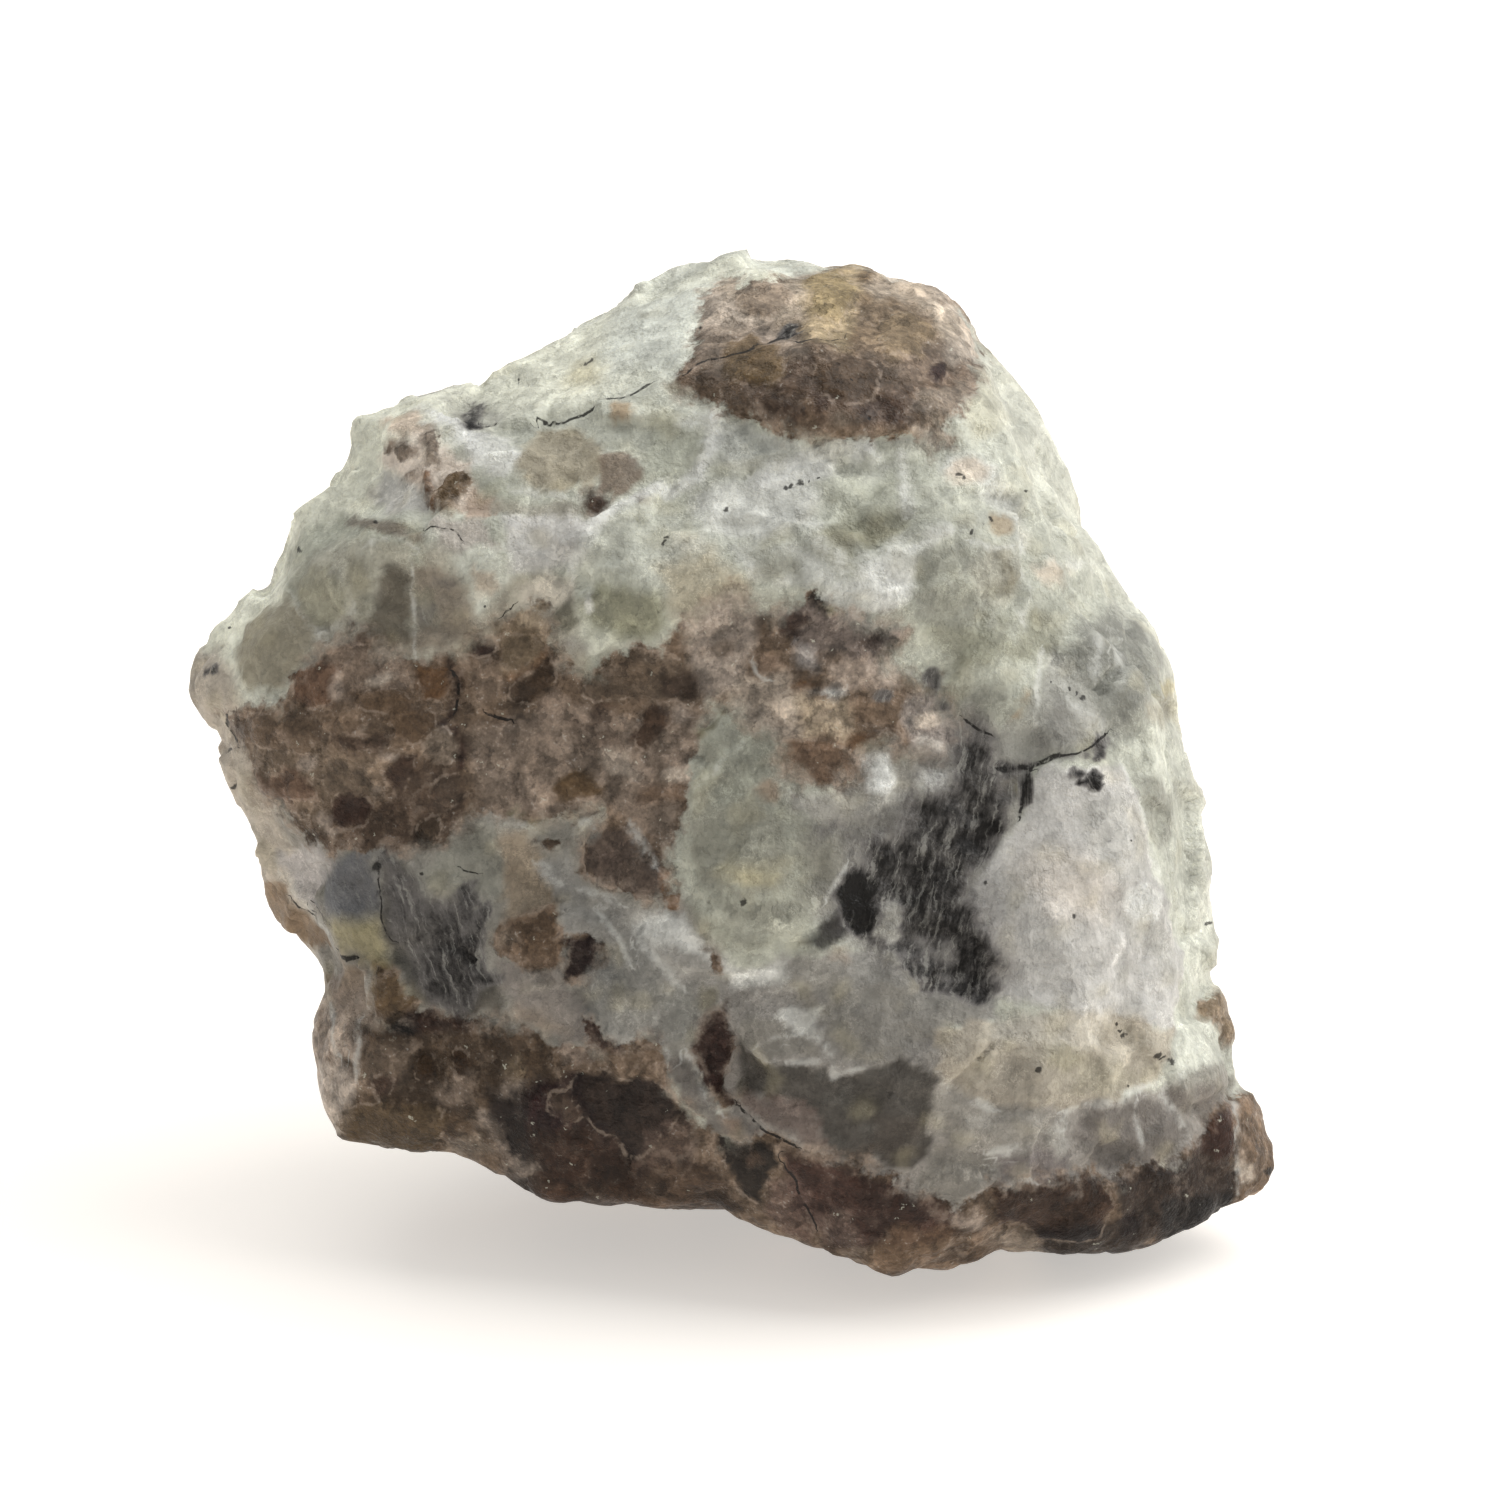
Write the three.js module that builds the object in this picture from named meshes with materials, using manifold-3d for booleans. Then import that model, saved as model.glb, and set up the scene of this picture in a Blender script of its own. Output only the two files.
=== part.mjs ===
// A hand specimen of pale green amazonite, cloudy with white feldspar and shot through with
// granular brown fluorite. It broke from its vein as one chunky piece, a broad rough face in
// front and a blunt keel behind, and it stands by itself on a small flat foot under the keel.
//
// The stone is one solid. Its corners are placed by hand and a closed skin is stretched over
// them. The skin is then cut into small triangles, its corners are worn round, and swells,
// lumps and hollows are raised on it. Last, the foot is cut flat.
//
// Corners are in the face frame, in millimetres: right along the broad face, up the face, and
// out of it. The finished part has +Z up, and its origin is at the bottom, in the middle.
import * as THREE from "three";
import { ConvexHull } from "three/addons/math/ConvexHull.js";
import { ImprovedNoise } from "three/addons/math/ImprovedNoise.js";
import { mergeVertices } from "three/addons/utils/BufferGeometryUtils.js";
import Module from "manifold-3d";

const wasm = await Module();
wasm.setup();

// Driving dimensions, in millimetres and degrees.
const FACE_LEAN = 22; // how far the broad face leans back from upright
const FOOT_DEPTH = 18.5; // from the face frame's middle straight down to the flat foot
const HEART = new THREE.Vector3(0, 2, -6); // inside the stone, in sight of every corner
const LONGEST_EDGE = 1.6; // of the small triangles
const WEAR_ROUNDS = 2; // how often the corners are worn
const WEAR_IN = 0.5; // the share of the way to its neighbours' middle that a point is worn in
const WEAR_OUT = 0.52; // and the share that it then moves back out
const BELOW = 100; // the side of the block that cuts the foot flat

// The stone's hand-placed corners, [right, up, out].
const CORNERS = {
  // The stone's outline as the broad face shows it, from the left shoulder round to the right.
  leftShoulder: [
    [-13.1, 14.2, -3.5], [-14.7, 13.2, -3], [-15.2, 11.7, -2.5], [-16.7, 10.2, -2.5], [-17.7, 8, -2.5],
    [-18.8, 6.5, -2.5], [-20.3, 5.4, -2.5], [-21, 3.9, -2], [-21.1, 2.5, -2], [-20.2, 0.9, -1.5],
    [-19.9, -0.6, -1.5], [-19, -2.1, -1.5], [-18.3, -3.3, -1.5],
  ],
  leftNub: [[-18.3, -4.7, -3.5], [-18.1, -5.8, -3.5], [-16.8, -6.9, -3], [-15.7, -8.1, -1.5]],
  leftFoot: [[-15.9, -10.4, -1], [-15.7, -12.4, -1], [-15.2, -14.4, 0], [-13.5, -14.7, 0]],
  bottomEdge: [
    [-11.6, -14.6, 0.5], [-9.9, -15.1, 1], [-7, -16.5, 2], [-4.3, -16.6, 2.5], [-0.5, -16.7, 3],
    [2.3, -17.9, 3.5], [5.1, -19, 4], [6.2, -19.6, 4], [7.6, -19.2, 3.5], [9.3, -19.1, 3],
    [10.4, -18.5, 2.5], [13.8, -18.6, 2], [16.5, -18.3, 1], [19.4, -17.4, -0.5],
  ],
  rightHeel: [[21.1, -16.3, -2], [21.1, -14.9, -2.5], [20.7, -13.5, -3], [19.8, -12.6, -3]],
  rightEdge: [
    [19.3, -11.4, -1.5], [19.4, -10.4, -1.5], [18.9, -8.8, -2], [18.5, -5.2, -2.5], [18.3, -1, -2.5],
    [17.9, 1, -2.5], [17.4, 1.8, -2.5], [17.3, 3.2, -3], [16.8, 4.7, -3], [15.3, 6.6, -3],
    [13.5, 9.3, -3.5], [13.2, 10.6, -4], [12.2, 12.8, -4], [10.7, 14.9, -4.5], [9.9, 15.5, -5],
  ],
  knobEdge: [
    [9.6, 16.1, -3], [9.1, 17.2, -3.5], [8.3, 18.3, -4.5], [5.8, 18.9, -5], [5, 19.6, -5.5],
    [3.7, 19.5, -5.5], [2.8, 19.9, -6],
  ],
  crown: [
    [0.2, 20.1, -6], [-1.8, 19.5, -6], [-4.2, 18.4, -5.5], [-6.5, 17.1, -5], [-8.2, 16.1, -4.5],
    [-9.1, 15.3, -4], [-11, 14.6, -4],
  ],
  // The broad face.
  topSlope: [[-9.7, 13, 1.2], [-6.6, 13.7, 1.8], [-3.5, 14.4, 2.4], [-5.1, 16.5, -1.8], [-1.6, 17.6, -1.2]],
  knob: [
    [1.1, 18.4, -1.6], [5, 18.2, -1.2], [7.7, 17.2, -0.6], [8.9, 15.6, 0.2], [0.3, 16.1, 2],
    [3.4, 16.1, 3.3], [6.5, 15.7, 2.8], [-0.6, 14.8, 3], [1.3, 13.9, 4.6], [4.4, 13.1, 5.5],
    [7.3, 13.6, 4.6],
  ],
  underKnob: [[1.5, 12.2, 4.2], [4.4, 11.2, 4.8], [7.3, 11.9, 4], [-1.6, 12.9, 3.6]],
  upperMass: [
    [0.3, 9.9, 6], [4.5, 9.5, 6.5], [8.2, 9.9, 5.5], [10.5, 12.9, 2.4], [11.8, 9.8, 3],
    [-2.7, 9.9, 5.6], [-5, 8.5, 6.4], [-5.8, 4.9, 5.8], [-1.2, 7, 7.2], [2.6, 7.8, 7.4],
    [6.4, 7.6, 7], [9.5, 7.4, 5.8], [13, 5.9, 3.8], [4.5, 4.9, 7.2],
  ],
  leftBlock: [
    [-6.5, 11.5, 3.6], [-11.6, 12.1, 2.2], [-12.5, 9.4, 3.8], [-9.6, 7.9, 5.2], [-7.8, 6.6, 5.4],
    [-15, 7.9, 2.2], [-17, 5.4, 1.8], [-18.7, 2.9, 1.2], [-14.6, 5.9, 3.2], [-11.7, 4.8, 4],
    [-7.2, 5.6, 4.9],
  ],
  brownHollow: [
    [-16.9, 1.7, 2.4], [-13.4, 1.9, 4.2], [-10.6, 2.5, 3.6], [-10.4, -0.2, 4.1], [-7.7, 2.9, 4.6],
    [-3.5, 2.5, 5.4], [0.6, 3.8, 6.2], [-18.5, -0.2, 1], [-16.2, -2.5, 2],
  ],
  darkSeam: [[7.6, 2.9, 5.9], [9.9, 0.5, 5.2], [8.7, -3, 5.9], [5.1, -5.6, 6.7], [9.5, -8.2, 6.3]],
  middleSwell: [
    [6.4, -0.6, 6.6], [1.1, -0.2, 6.4], [-1.6, -1.7, 6.4], [1.1, -3.4, 7.8], [-1.2, -5.7, 7.4],
    [2.4, -6.2, 8],
  ],
  middleLeft: [
    [-6.5, 0.2, 4.8], [-5, -3.2, 5.4], [-8.8, -3.6, 4.2], [-11.9, -4.4, 3.4], [-14.8, -4.4, 2],
    [-11.2, -7.9, 3], [-6.5, -6.7, 5],
  ],
  rightSlab: [
    [10.2, 3.2, 6], [13.3, 1, 5], [15.7, 2.9, 2.8], [16.1, -1.3, 3], [16.6, -5.9, 2.8],
    [17.1, -9.8, 2], [14.1, -3.2, 5.4], [11.9, -5.1, 6.6], [13.7, -9, 5.6], [15.3, -12, 4],
  ],
  underSwell: [[0.9, -8.1, 6.9], [4.2, -8.3, 7]],
  lowerFace: [
    [-2.7, -7.8, 6.6], [-5, -10.5, 5], [-0.4, -10.5, 5.6], [-1.2, -12.2, 5.8], [2.2, -10.9, 7.6],
    [5.3, -11.2, 8.1], [8.3, -10.8, 7.9], [10.2, -13.1, 6.6], [7.6, -15.6, 6.4], [3.8, -14.6, 6.2],
    [11.6, -10.6, 7],
  ],
  bottomBand: [
    [-13.5, -9.4, 2.4], [-14.7, -12.1, 1.4], [-11.6, -12.9, 2.4], [-8.1, -12, 4], [-5, -13.9, 4.4],
    [0.3, -14.7, 5], [6.4, -17.5, 5.4], [9.5, -16.8, 5.2], [13.3, -15.9, 4.4], [16.4, -14.8, 3],
    [19, -13.7, 0.8], [-6.6, -15.3, 3.2], [-1.2, -15.9, 4], [14.1, -17.6, 3], [17.7, -16.6, 1],
  ],
  // The flanks, which turn in behind the outline.
  flanks: [
    [-12.2, 9.6, -7.2], [-14.9, 6.3, -6.2], [-16.3, 2.6, -7], [-15.4, -1.2, -6.4], [-13.8, -5.3, -8],
    [-14.6, -9.2, -6], [-9.9, 12, -7.9], [-6.7, 13.6, -9.3], [-3.8, 16.2, -8.6], [-0.6, 16.2, -10.4],
    [3, 17.4, -9.4], [6.3, 15.2, -9.8], [9, 13.4, -7.7], [10.6, 9.6, -9], [13.1, 6.2, -7.1],
    [13.9, 2.2, -8.6], [15.9, -1.2, -7], [15.3, -5.3, -8.6], [17, -9.2, -6.4], [16.4, -12.4, -7.6],
    [18.6, -15.4, -5],
  ],
  // The keel behind, and what lies below it.
  keel: [
    [-6.8, 6.2, -12.3], [-1.6, 10.4, -12.4], [4.2, 10.6, -12.8], [8.6, 5.6, -11.8], [2.4, 4.6, -14],
    [10.3, -2.4, -12.4], [11.6, -7.9, -11.7], [4.1, -3.6, -15], [-2.6, -0.4, -14.4],
    [-9.6, 0.6, -11.4], [-8.4, -4.6, -12.9],
  ],
  underside: [
    [-13, -12.6, -7], [-8.6, -15.1, -8], [-9.2, -9.6, -12], [-1.2, -10.2, -15], [6.7, -10.2, -14.5],
    [-5.2, -15.8, -11.4], [2, -15.7, -13], [8.3, -16.9, -12], [13, -16, -10], [16.4, -16.6, -6],
    [1.1, -17, -5], [6.6, -18.9, -3], [10.5, -18.3, -4],
  ],
};

// A skin is { points: [Vector3], faces: [[a, b, c]] }, closed, with its faces turned outwards.

// Stretches a skin over the corners. Seen from the heart they lie on a ball, and the faces of
// that ball's hull say which three corners each flat of the stone joins.
function stretchSkin(points) {
  const numberOf = new Map(points.map((p, i) => [p.clone().sub(HEART).normalize(), i]));
  const hull = new ConvexHull().setFromPoints([...numberOf.keys()]);
  const faces = hull.faces.map(({ edge }) =>
    [edge.prev, edge, edge.next].map((e) => numberOf.get(e.head().point)),
  );
  return { points, faces };
}

// Cuts every edge longer than the limit at its middle, over and over, until none is left.
function refineSkin({ points, faces }, longest) {
  const made = points.map((p) => p.clone());
  let rest = faces;
  for (let cut = true; cut; ) {
    cut = false;
    const middles = new Map();
    const middleOf = (a, b) => {
      if (made[a].distanceTo(made[b]) <= longest) return null;
      const key = a < b ? `${a}_${b}` : `${b}_${a}`;
      if (!middles.has(key)) {
        middles.set(key, made.length);
        made.push(made[a].clone().lerp(made[b], 0.5));
        cut = true;
      }
      return middles.get(key);
    };
    rest = rest.flatMap(([a, b, c]) => splitFace(a, b, c, middleOf(a, b), middleOf(b, c), middleOf(c, a)));
  }
  return { points: made, faces: rest };
}

// The pieces of one face whose edges ab, bc and ca are cut at those points, or not at all (null).
function splitFace(a, b, c, ab, bc, ca) {
  const cuts = [ab, bc, ca].filter((m) => m !== null).length;
  if (cuts === 0) return [[a, b, c]];
  if (cuts === 3) return [[a, ab, ca], [ab, b, bc], [ca, bc, c], [ab, bc, ca]];
  if (cuts === 1) {
    if (ab !== null) return [[a, ab, c], [ab, b, c]];
    return splitFace(b, c, a, bc, ca, ab);
  }
  if (ca === null) return [[a, ab, c], [ab, bc, c], [ab, b, bc]];
  return splitFace(b, c, a, bc, ca, ab);
}

// Each point's neighbours along the edges.
function neighboursOf({ points, faces }) {
  const near = points.map(() => new Set());
  for (const face of faces)
    face.forEach((a, i) => near[a].add(face[(i + 1) % 3]).add(face[(i + 2) % 3]));
  return near;
}

// Wears the corners: each round moves every point towards the middle of its neighbours, and
// then a little back out, so that the stone keeps its size.
function wearSkin(skin, rounds) {
  const near = neighboursOf(skin);
  for (let round = 0; round < rounds; round++)
    for (const share of [WEAR_IN, -WEAR_OUT]) {
      const moves = skin.points.map((p, i) => {
        const middle = new THREE.Vector3();
        for (const n of near[i]) middle.add(skin.points[n]);
        return middle.divideScalar(near[i].size).sub(p).multiplyScalar(share);
      });
      skin.points.forEach((p, i) => p.add(moves[i]));
    }
}

// The outward direction at each point.
function normalsOf({ points, faces }) {
  const normals = points.map(() => new THREE.Vector3());
  for (const [a, b, c] of faces) {
    const turn = points[b].clone().sub(points[a]).cross(points[c].clone().sub(points[a]));
    for (const i of [a, b, c]) normals[i].add(turn);
  }
  return normals.map((n) => n.normalize());
}

// Broken feldspar: broad swells and coarse lumps all over, and deeper hollows behind.
const SWELL = { size: 6.5, height: 0.4 };
const LUMPS = { size: 2.4, height: 0.3 };
const HOLLOWS = { size: 7.5, height: 1.6, from: 5, to: 9 };

const noise = new ImprovedNoise();
const noiseAt = (p, size, layer) => noise.noise(p.x / size + layer, p.y / size, p.z / size);

function roughen(skin) {
  const normals = normalsOf(skin);
  skin.points.forEach((p, i) => {
    const swell = SWELL.height * noiseAt(p, SWELL.size, 11.5);
    const lump = LUMPS.height * noiseAt(p, LUMPS.size, 31.5);
    const behind = THREE.MathUtils.smoothstep(-p.z, HOLLOWS.from, HOLLOWS.to);
    const hollow = HOLLOWS.height * behind * noiseAt(p, HOLLOWS.size, 71.5);
    p.addScaledVector(normals[i], swell + lump + hollow);
  });
}

function geometryOf({ points, faces }) {
  return new THREE.BufferGeometry().setFromPoints(points).setIndex(faces.flat());
}

// A geometry's positions and index alone, without its normals and texture positions.
function bareGeometry(geometry) {
  return new THREE.BufferGeometry()
    .setAttribute("position", geometry.getAttribute("position"))
    .setIndex(geometry.getIndex());
}

// A closed geometry as a solid that can be cut.
function solidOf(geometry) {
  const merged = mergeVertices(bareGeometry(geometry), 1e-4);
  return new wasm.Manifold(
    new wasm.Mesh({
      numProp: 3,
      vertProperties: merged.attributes.position.array,
      triVerts: new Uint32Array(merged.index.array),
    }),
  );
}

function geometryOfSolid(solid) {
  const { vertProperties, triVerts } = solid.getMesh();
  return new THREE.BufferGeometry()
    .setAttribute("position", new THREE.BufferAttribute(vertProperties, 3))
    .setIndex(new THREE.BufferAttribute(triVerts, 1));
}

// Stands the stone upright and cuts off what lies below the foot.
function standOnFoot(geometry) {
  geometry.rotateX(THREE.MathUtils.degToRad(90 - FACE_LEAN));
  const below = new THREE.BoxGeometry(BELOW, BELOW, BELOW).translate(0, 0, -BELOW / 2 - FOOT_DEPTH);
  return geometryOfSolid(solidOf(geometry).subtract(solidOf(below)));
}

const corners = Object.values(CORNERS).flat().map((c) => new THREE.Vector3(...c));
const skin = refineSkin(stretchSkin(corners), LONGEST_EDGE);
wearSkin(skin, WEAR_ROUNDS);
roughen(skin);

const stone = new THREE.Mesh(
  standOnFoot(geometryOf(skin)),
  new THREE.MeshStandardMaterial({ color: 0xb9bfae, roughness: 0.55, metalness: 0 }),
);
stone.name = "stone";
stone.geometry.computeBoundingBox();
const box = stone.geometry.boundingBox;
stone.position.set(-(box.min.x + box.max.x) / 2, -(box.min.y + box.max.y) / 2, -box.min.z);

const specimen = new THREE.Group();
specimen.add(stone);
export default specimen;
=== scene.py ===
import math

import bmesh
import bpy
import numpy as np
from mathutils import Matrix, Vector, noise


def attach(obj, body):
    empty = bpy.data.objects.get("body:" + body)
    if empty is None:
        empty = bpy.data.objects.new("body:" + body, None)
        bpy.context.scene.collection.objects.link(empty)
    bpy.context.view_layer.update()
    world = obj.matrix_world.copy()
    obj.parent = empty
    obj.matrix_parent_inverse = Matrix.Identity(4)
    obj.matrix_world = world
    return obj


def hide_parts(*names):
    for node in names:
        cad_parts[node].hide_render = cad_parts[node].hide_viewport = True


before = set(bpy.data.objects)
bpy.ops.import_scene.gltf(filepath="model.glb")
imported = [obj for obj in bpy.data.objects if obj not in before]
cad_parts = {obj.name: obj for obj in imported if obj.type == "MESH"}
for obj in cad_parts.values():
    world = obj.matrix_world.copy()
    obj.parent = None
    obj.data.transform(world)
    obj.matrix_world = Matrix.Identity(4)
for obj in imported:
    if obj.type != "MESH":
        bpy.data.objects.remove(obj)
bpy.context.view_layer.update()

# The stone: a lump broken from a coarse vein, standing on a small flat of its underside.
# Milky green feldspar and smoky brown quartz are grown through each other in coarse grains.
# It is one piece with nothing cut or polished, so all of its skin is broken faces and ledges.
MM = 0.001
FACE_MIDDLE = np.array((0.04, -2.22, 18.5))
FACE_LEAN = math.radians(22)
VIEW_DISTANCE = 420
ACROSS = np.array((1, 0, 0))
UPWARD = np.array((0, math.sin(FACE_LEAN), math.cos(FACE_LEAN)))
OUTWARD = np.array((0, -math.cos(FACE_LEAN), math.sin(FACE_LEAN)))
SKIN_GRID = 0.235

solid = bmesh.new()
solid.from_mesh(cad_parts["stone"].data)
bmesh.ops.remove_doubles(solid, verts=solid.verts, dist=0.001 * MM)
rough_mesh = bpy.data.meshes.new("rough_stone")
solid.to_mesh(rough_mesh)
solid.free()
stone = bpy.data.objects.new("rough_stone", rough_mesh)
bpy.context.scene.collection.objects.link(stone)
rounding = stone.modifiers.new("rounding", "SUBSURF")
rounding.levels = rounding.render_levels = 2
skin = stone.modifiers.new("skin", "REMESH")
skin.mode = "VOXEL"
skin.voxel_size = SKIN_GRID * MM
shaped = stone.evaluated_get(bpy.context.evaluated_depsgraph_get())
stone.data = bpy.data.meshes.new_from_object(shaped)
stone.modifiers.clear()
stone.data.name = "rough_stone"


def of_each_vertex(name):
    values = np.empty(len(stone.data.vertices) * 3, np.float32)
    stone.data.vertices.foreach_get(name, values)
    return values.reshape(-1, 3).astype(float)


points = of_each_vertex("co") / MM
normals = of_each_vertex("normal")
corners = [Vector(point) for point in points]


def smooth_step(x):
    x = np.clip(x, 0, 1)
    return x * x * (3 - 2 * x)


SEED_STEP = Vector((7.3, 3.1, 5.7))
FADE, FINER = 0.9, 2.1


def noise_at(size, seed, depth=1):
    shift = SEED_STEP * seed
    return np.array([noise.fractal(p / size + shift, FADE, FINER, depth) for p in corners])


# The vectors below come from a table that is otherwise seeded anew at each start.
NOISE_SEED = 1
noise.seed_set(NOISE_SEED)


def noise_vectors(size, seed):
    shift = SEED_STEP * seed
    return np.array([noise.noise_vector(p / size + shift) for p in corners])


# The front is marked out in millimetres across and up from the middle of the face, along the sight
# lines of someone looking straight at it. Edges wander a little, as grown ones do.
from_middle = points - FACE_MIDDLE
out = from_middle @ OUTWARD
spread = VIEW_DISTANCE / (VIEW_DISTANCE - out)
wander = 0.2 * noise_vectors(1.2, 1) + 0.08 * noise_vectors(0.4, 2)
u = from_middle @ ACROSS * spread + wander[:, 0]
v = from_middle @ UPWARD * spread + wander[:, 1]
BACK_STARTS = -5.5
BACK_RAGGED = 2.2
BACK_SOFT = 1.6
front = smooth_step((out - BACK_STARTS + BACK_RAGGED * noise_at(3.5, 3)) / BACK_SOFT)
back = 1 - front


OUT_OF_REACH = 99.0
NEARLY_LEVEL = 1e-9


def off_line(x0, y0, x1, y1):
    dx, dy = x1 - x0, y1 - y0
    along = np.clip(((u - x0) * dx + (v - y0) * dy) / (dx * dx + dy * dy), 0, 1)
    return np.hypot(u - x0 - along * dx, v - y0 - along * dy)


def area(*outline):
    # How far each point lies inside a closed outline, in millimetres; less than nothing outside it.
    nearest = np.full(len(u), OUT_OF_REACH)
    inside = np.zeros(len(u), bool)
    for (x0, y0), (x1, y1) in zip(outline, outline[1:] + outline[:1]):
        nearest = np.minimum(nearest, off_line(x0, y0, x1, y1))
        crossing = x0 + (x1 - x0) * (v - y0) / ((y1 - y0) or NEARLY_LEVEL)
        inside ^= ((y0 > v) != (y1 > v)) & (u < crossing)
    return np.where(inside, nearest, -nearest)


def spot(x, y, half_wide, half_high=None, turn=0):
    half_high = half_high or half_wide
    c, s = math.cos(math.radians(turn)), math.sin(math.radians(turn))
    along, up = (u - x) * c + (v - y) * s, (v - y) * c - (u - x) * s
    return (1 - np.hypot(along / half_wide, up / half_high)) * min(half_wide, half_high)


def band(width, *path):
    nearest = np.full(len(u), OUT_OF_REACH)
    for (x0, y0), (x1, y1) in zip(path, path[1:]):
        nearest = np.minimum(nearest, off_line(x0, y0, x1, y1))
    return width / 2 - nearest


def pigment(shade):
    # Shades are given as they look in the light that falls on the face; the pigment is lighter.
    seen = np.array([int(shade[i:i + 2], 16) / 255 for i in (1, 3, 5)])
    return np.clip((seen ** SCREEN_CURVE - SHEEN) / FACE_LIGHT, DARKEST, PALEST)


FACE_LIGHT = 0.86
SHEEN = 0.013
SCREEN_CURVE = 2.2
DARKEST, PALEST = 0.004, 0.9
CHALK, CREAM, MILK, FROST = "#cfcfc9", "#d3d3c2", "#bcbdb1", "#bbb9b3"
MIST, LAVENDER, BLUSH, SHELL = "#9b9a92", "#a5a09c", "#a9998a", "#c3b4a2"
SAGE, MOSS, OLIVE, STRAW = "#a3a496", "#858474", "#6f6a57", "#aea586"
SAND, BUFF, ROSE, SMOKE = "#a3937c", "#86796a", "#8b7a6b", "#6a5a4b"
UMBER, BARK, RUST, SLATE = "#50433a", "#33271f", "#76583e", "#7f7e78"
LEAD, SOOT, HAZE, DUSK = "#565350", "#2b2a29", "#8f8c85", "#77746d"

pale = np.tile(pigment(MILK), (len(u), 1))
smoky = np.tile(pigment(SMOKE), (len(u), 1))
swelling = np.zeros(len(u))
fray = 0.22 * noise_at(0.75, 4, 3)
EDGE_WIDTH = 0.85


def lay(layer, shade, shape, soft=0.4, strength=1.0, lift=0.0, side=None):
    soft = EDGE_WIDTH * soft
    cover = smooth_step((shape + fray) / soft + 0.5) * strength * (front if side is None else side)
    layer += (pigment(shade) - layer) * cover[:, None]
    if lift:
        swelling[:] += lift * cover


# The feldspar: milky and sage green inside, with darker windows where it is clear enough to see into,
# and frosted where it is bruised white. The pale cream bands along its thin edges, high on the left,
# low on the left and down the right, are painted glow of the light that gets through those edges.
lay(pale, SAGE, spot(0, 0, 17, 15), 9, 0.6)
# painted glow: light getting through the thin top-left edge
lay(pale, CREAM, band(3.4, (-20.6, 3), (-18.7, 6.4), (-16.8, 9.2), (-14.5, 11.8), (-12.6, 13.4),
    (-9.5, 14.6), (-6.5, 16.6), (-3.5, 18.4), (0, 19.8), (3, 19.5)), 1.6)
lay(pale, CREAM, area((-9, 13.4), (-5, 14.2), (-1.5, 15.6), (0, 18.6), (3.4, 19.2), (1, 21), (-8, 17)), 1.5)
lay(pale, "#c6c8bd", area((-5, 15), (-1.8, 15.2), (-1.2, 17.4), (-0.6, 18.6), (-2.6, 18.4), (-4.6, 17.4)),
    1.2)
lay(pale, STRAW, spot(-5.7, 15.1, 0.7, 0.5, 30), 0.8, 0.6)
# painted glow: light getting through the thin lower-left edge
lay(pale, "#aaa194", band(3.0, (-20.4, 3), (-20, 0.6), (-19, -1.6), (-17.8, -3.6), (-16.2, -6),
    (-15.4, -8)), 1.2)
lay(pale, "#9a9588", area((-16.9, 3.4), (-16.8, 7), (-15.4, 8.6), (-12, 8.8), (-9, 7.6), (-6, 7.4),
    (-5.6, 3.6), (-9, 3)), 0.7, 0.85)
lay(pale, "#86827a", area((-17.4, -2), (-10, -1), (-5, -2), (-0.4, -6.6), (0.2, -11), (0.8, -13.6),
    (-4, -11.6), (-16, -10), (-16.2, -6)), 0.8, 0.9)
lay(pale, "#85807a", area((-0.6, -8.2), (8, -9.6), (8.6, -12.2), (12, -13), (17, -12.6), (19.6, -11.8),
    (20, -14), (14, -17), (8, -18), (0, -15)), 0.5, 0.95)
lay(pale, "#8e8b85", area((3, -1), (6, 1), (9.4, 2.4), (11.4, 0.4), (11.4, -2), (10, -4), (11, -8),
    (10, -9.6), (6, -8), (3, -6)), 0.9, 0.8)
lay(pale, "#b0aea7", area((-14.2, 10.5), (-13.4, 11.5), (-12.2, 11.2), (-11.4, 10), (-13, 9.7)), 0.5)
lay(pale, CHALK, area((-12, 13.5), (-10.9, 13.6), (-9.4, 12.4), (-8.8, 11.6), (-9.8, 11.4), (-10.4, 12.4)),
    0.6)
lay(pale, "#bfbfb8", area((-9.6, 12.6), (-8.6, 12.6), (-8, 11.6), (-8.6, 11), (-9.6, 11.2)), 0.5)
lay(pale, SAGE, area((-9.8, 11), (-8.4, 10.9), (-7.8, 10.2), (-8.6, 9.6), (-9.4, 10)), 0.4)
lay(pale, BLUSH, area((-10.6, 10.2), (-9.9, 10.7), (-9.2, 10.4), (-8.8, 9.8), (-9.3, 9.3), (-10.3, 9.4)), 0.2)
lay(pale, SHELL, area((-13.4, 13.2), (-12, 13.4), (-11.4, 12.8), (-11.6, 12.4), (-13, 12.6)), 0.5)
lay(pale, "#cbbfb1", area((-13.8, 12), (-12.6, 12.6), (-11.4, 12.6), (-10, 11.6), (-10.4, 9.6),
    (-12.2, 10.9)), 0.6)
lay(pale, SAGE, area((-17.2, 8.2), (-15, 9.7), (-12, 9.4), (-11.6, 8.3), (-12.2, 5.2), (-16.8, 6.2)), 0.6)
lay(pale, "#a39d90", area((-16.6, 7.4), (-14.8, 8.6), (-12.2, 8.6), (-11.9, 5.3), (-16.6, 5.9)), 0.8, 0.5)
lay(pale, "#999685", area((-16.7, 6.3), (-16.4, 7.3), (-15.5, 7.6), (-14.8, 7), (-14.7, 5.8), (-15.5, 5.5),
    (-16.2, 5.5)), 0.3, lift=0.1)
lay(pale, OLIVE, area((-14.6, 8), (-13.9, 7.9), (-13.8, 5.5), (-14.6, 5.6)), 0.5, 0.35)
lay(pale, "#5f594f", area((-14.4, 5), (-13.6, 6.6), (-13.5, 7.8), (-12.6, 7.6), (-12.2, 6.6), (-12.3, 4.6),
    (-13.3, 4.4)), 0.5, 0.9)
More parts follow.
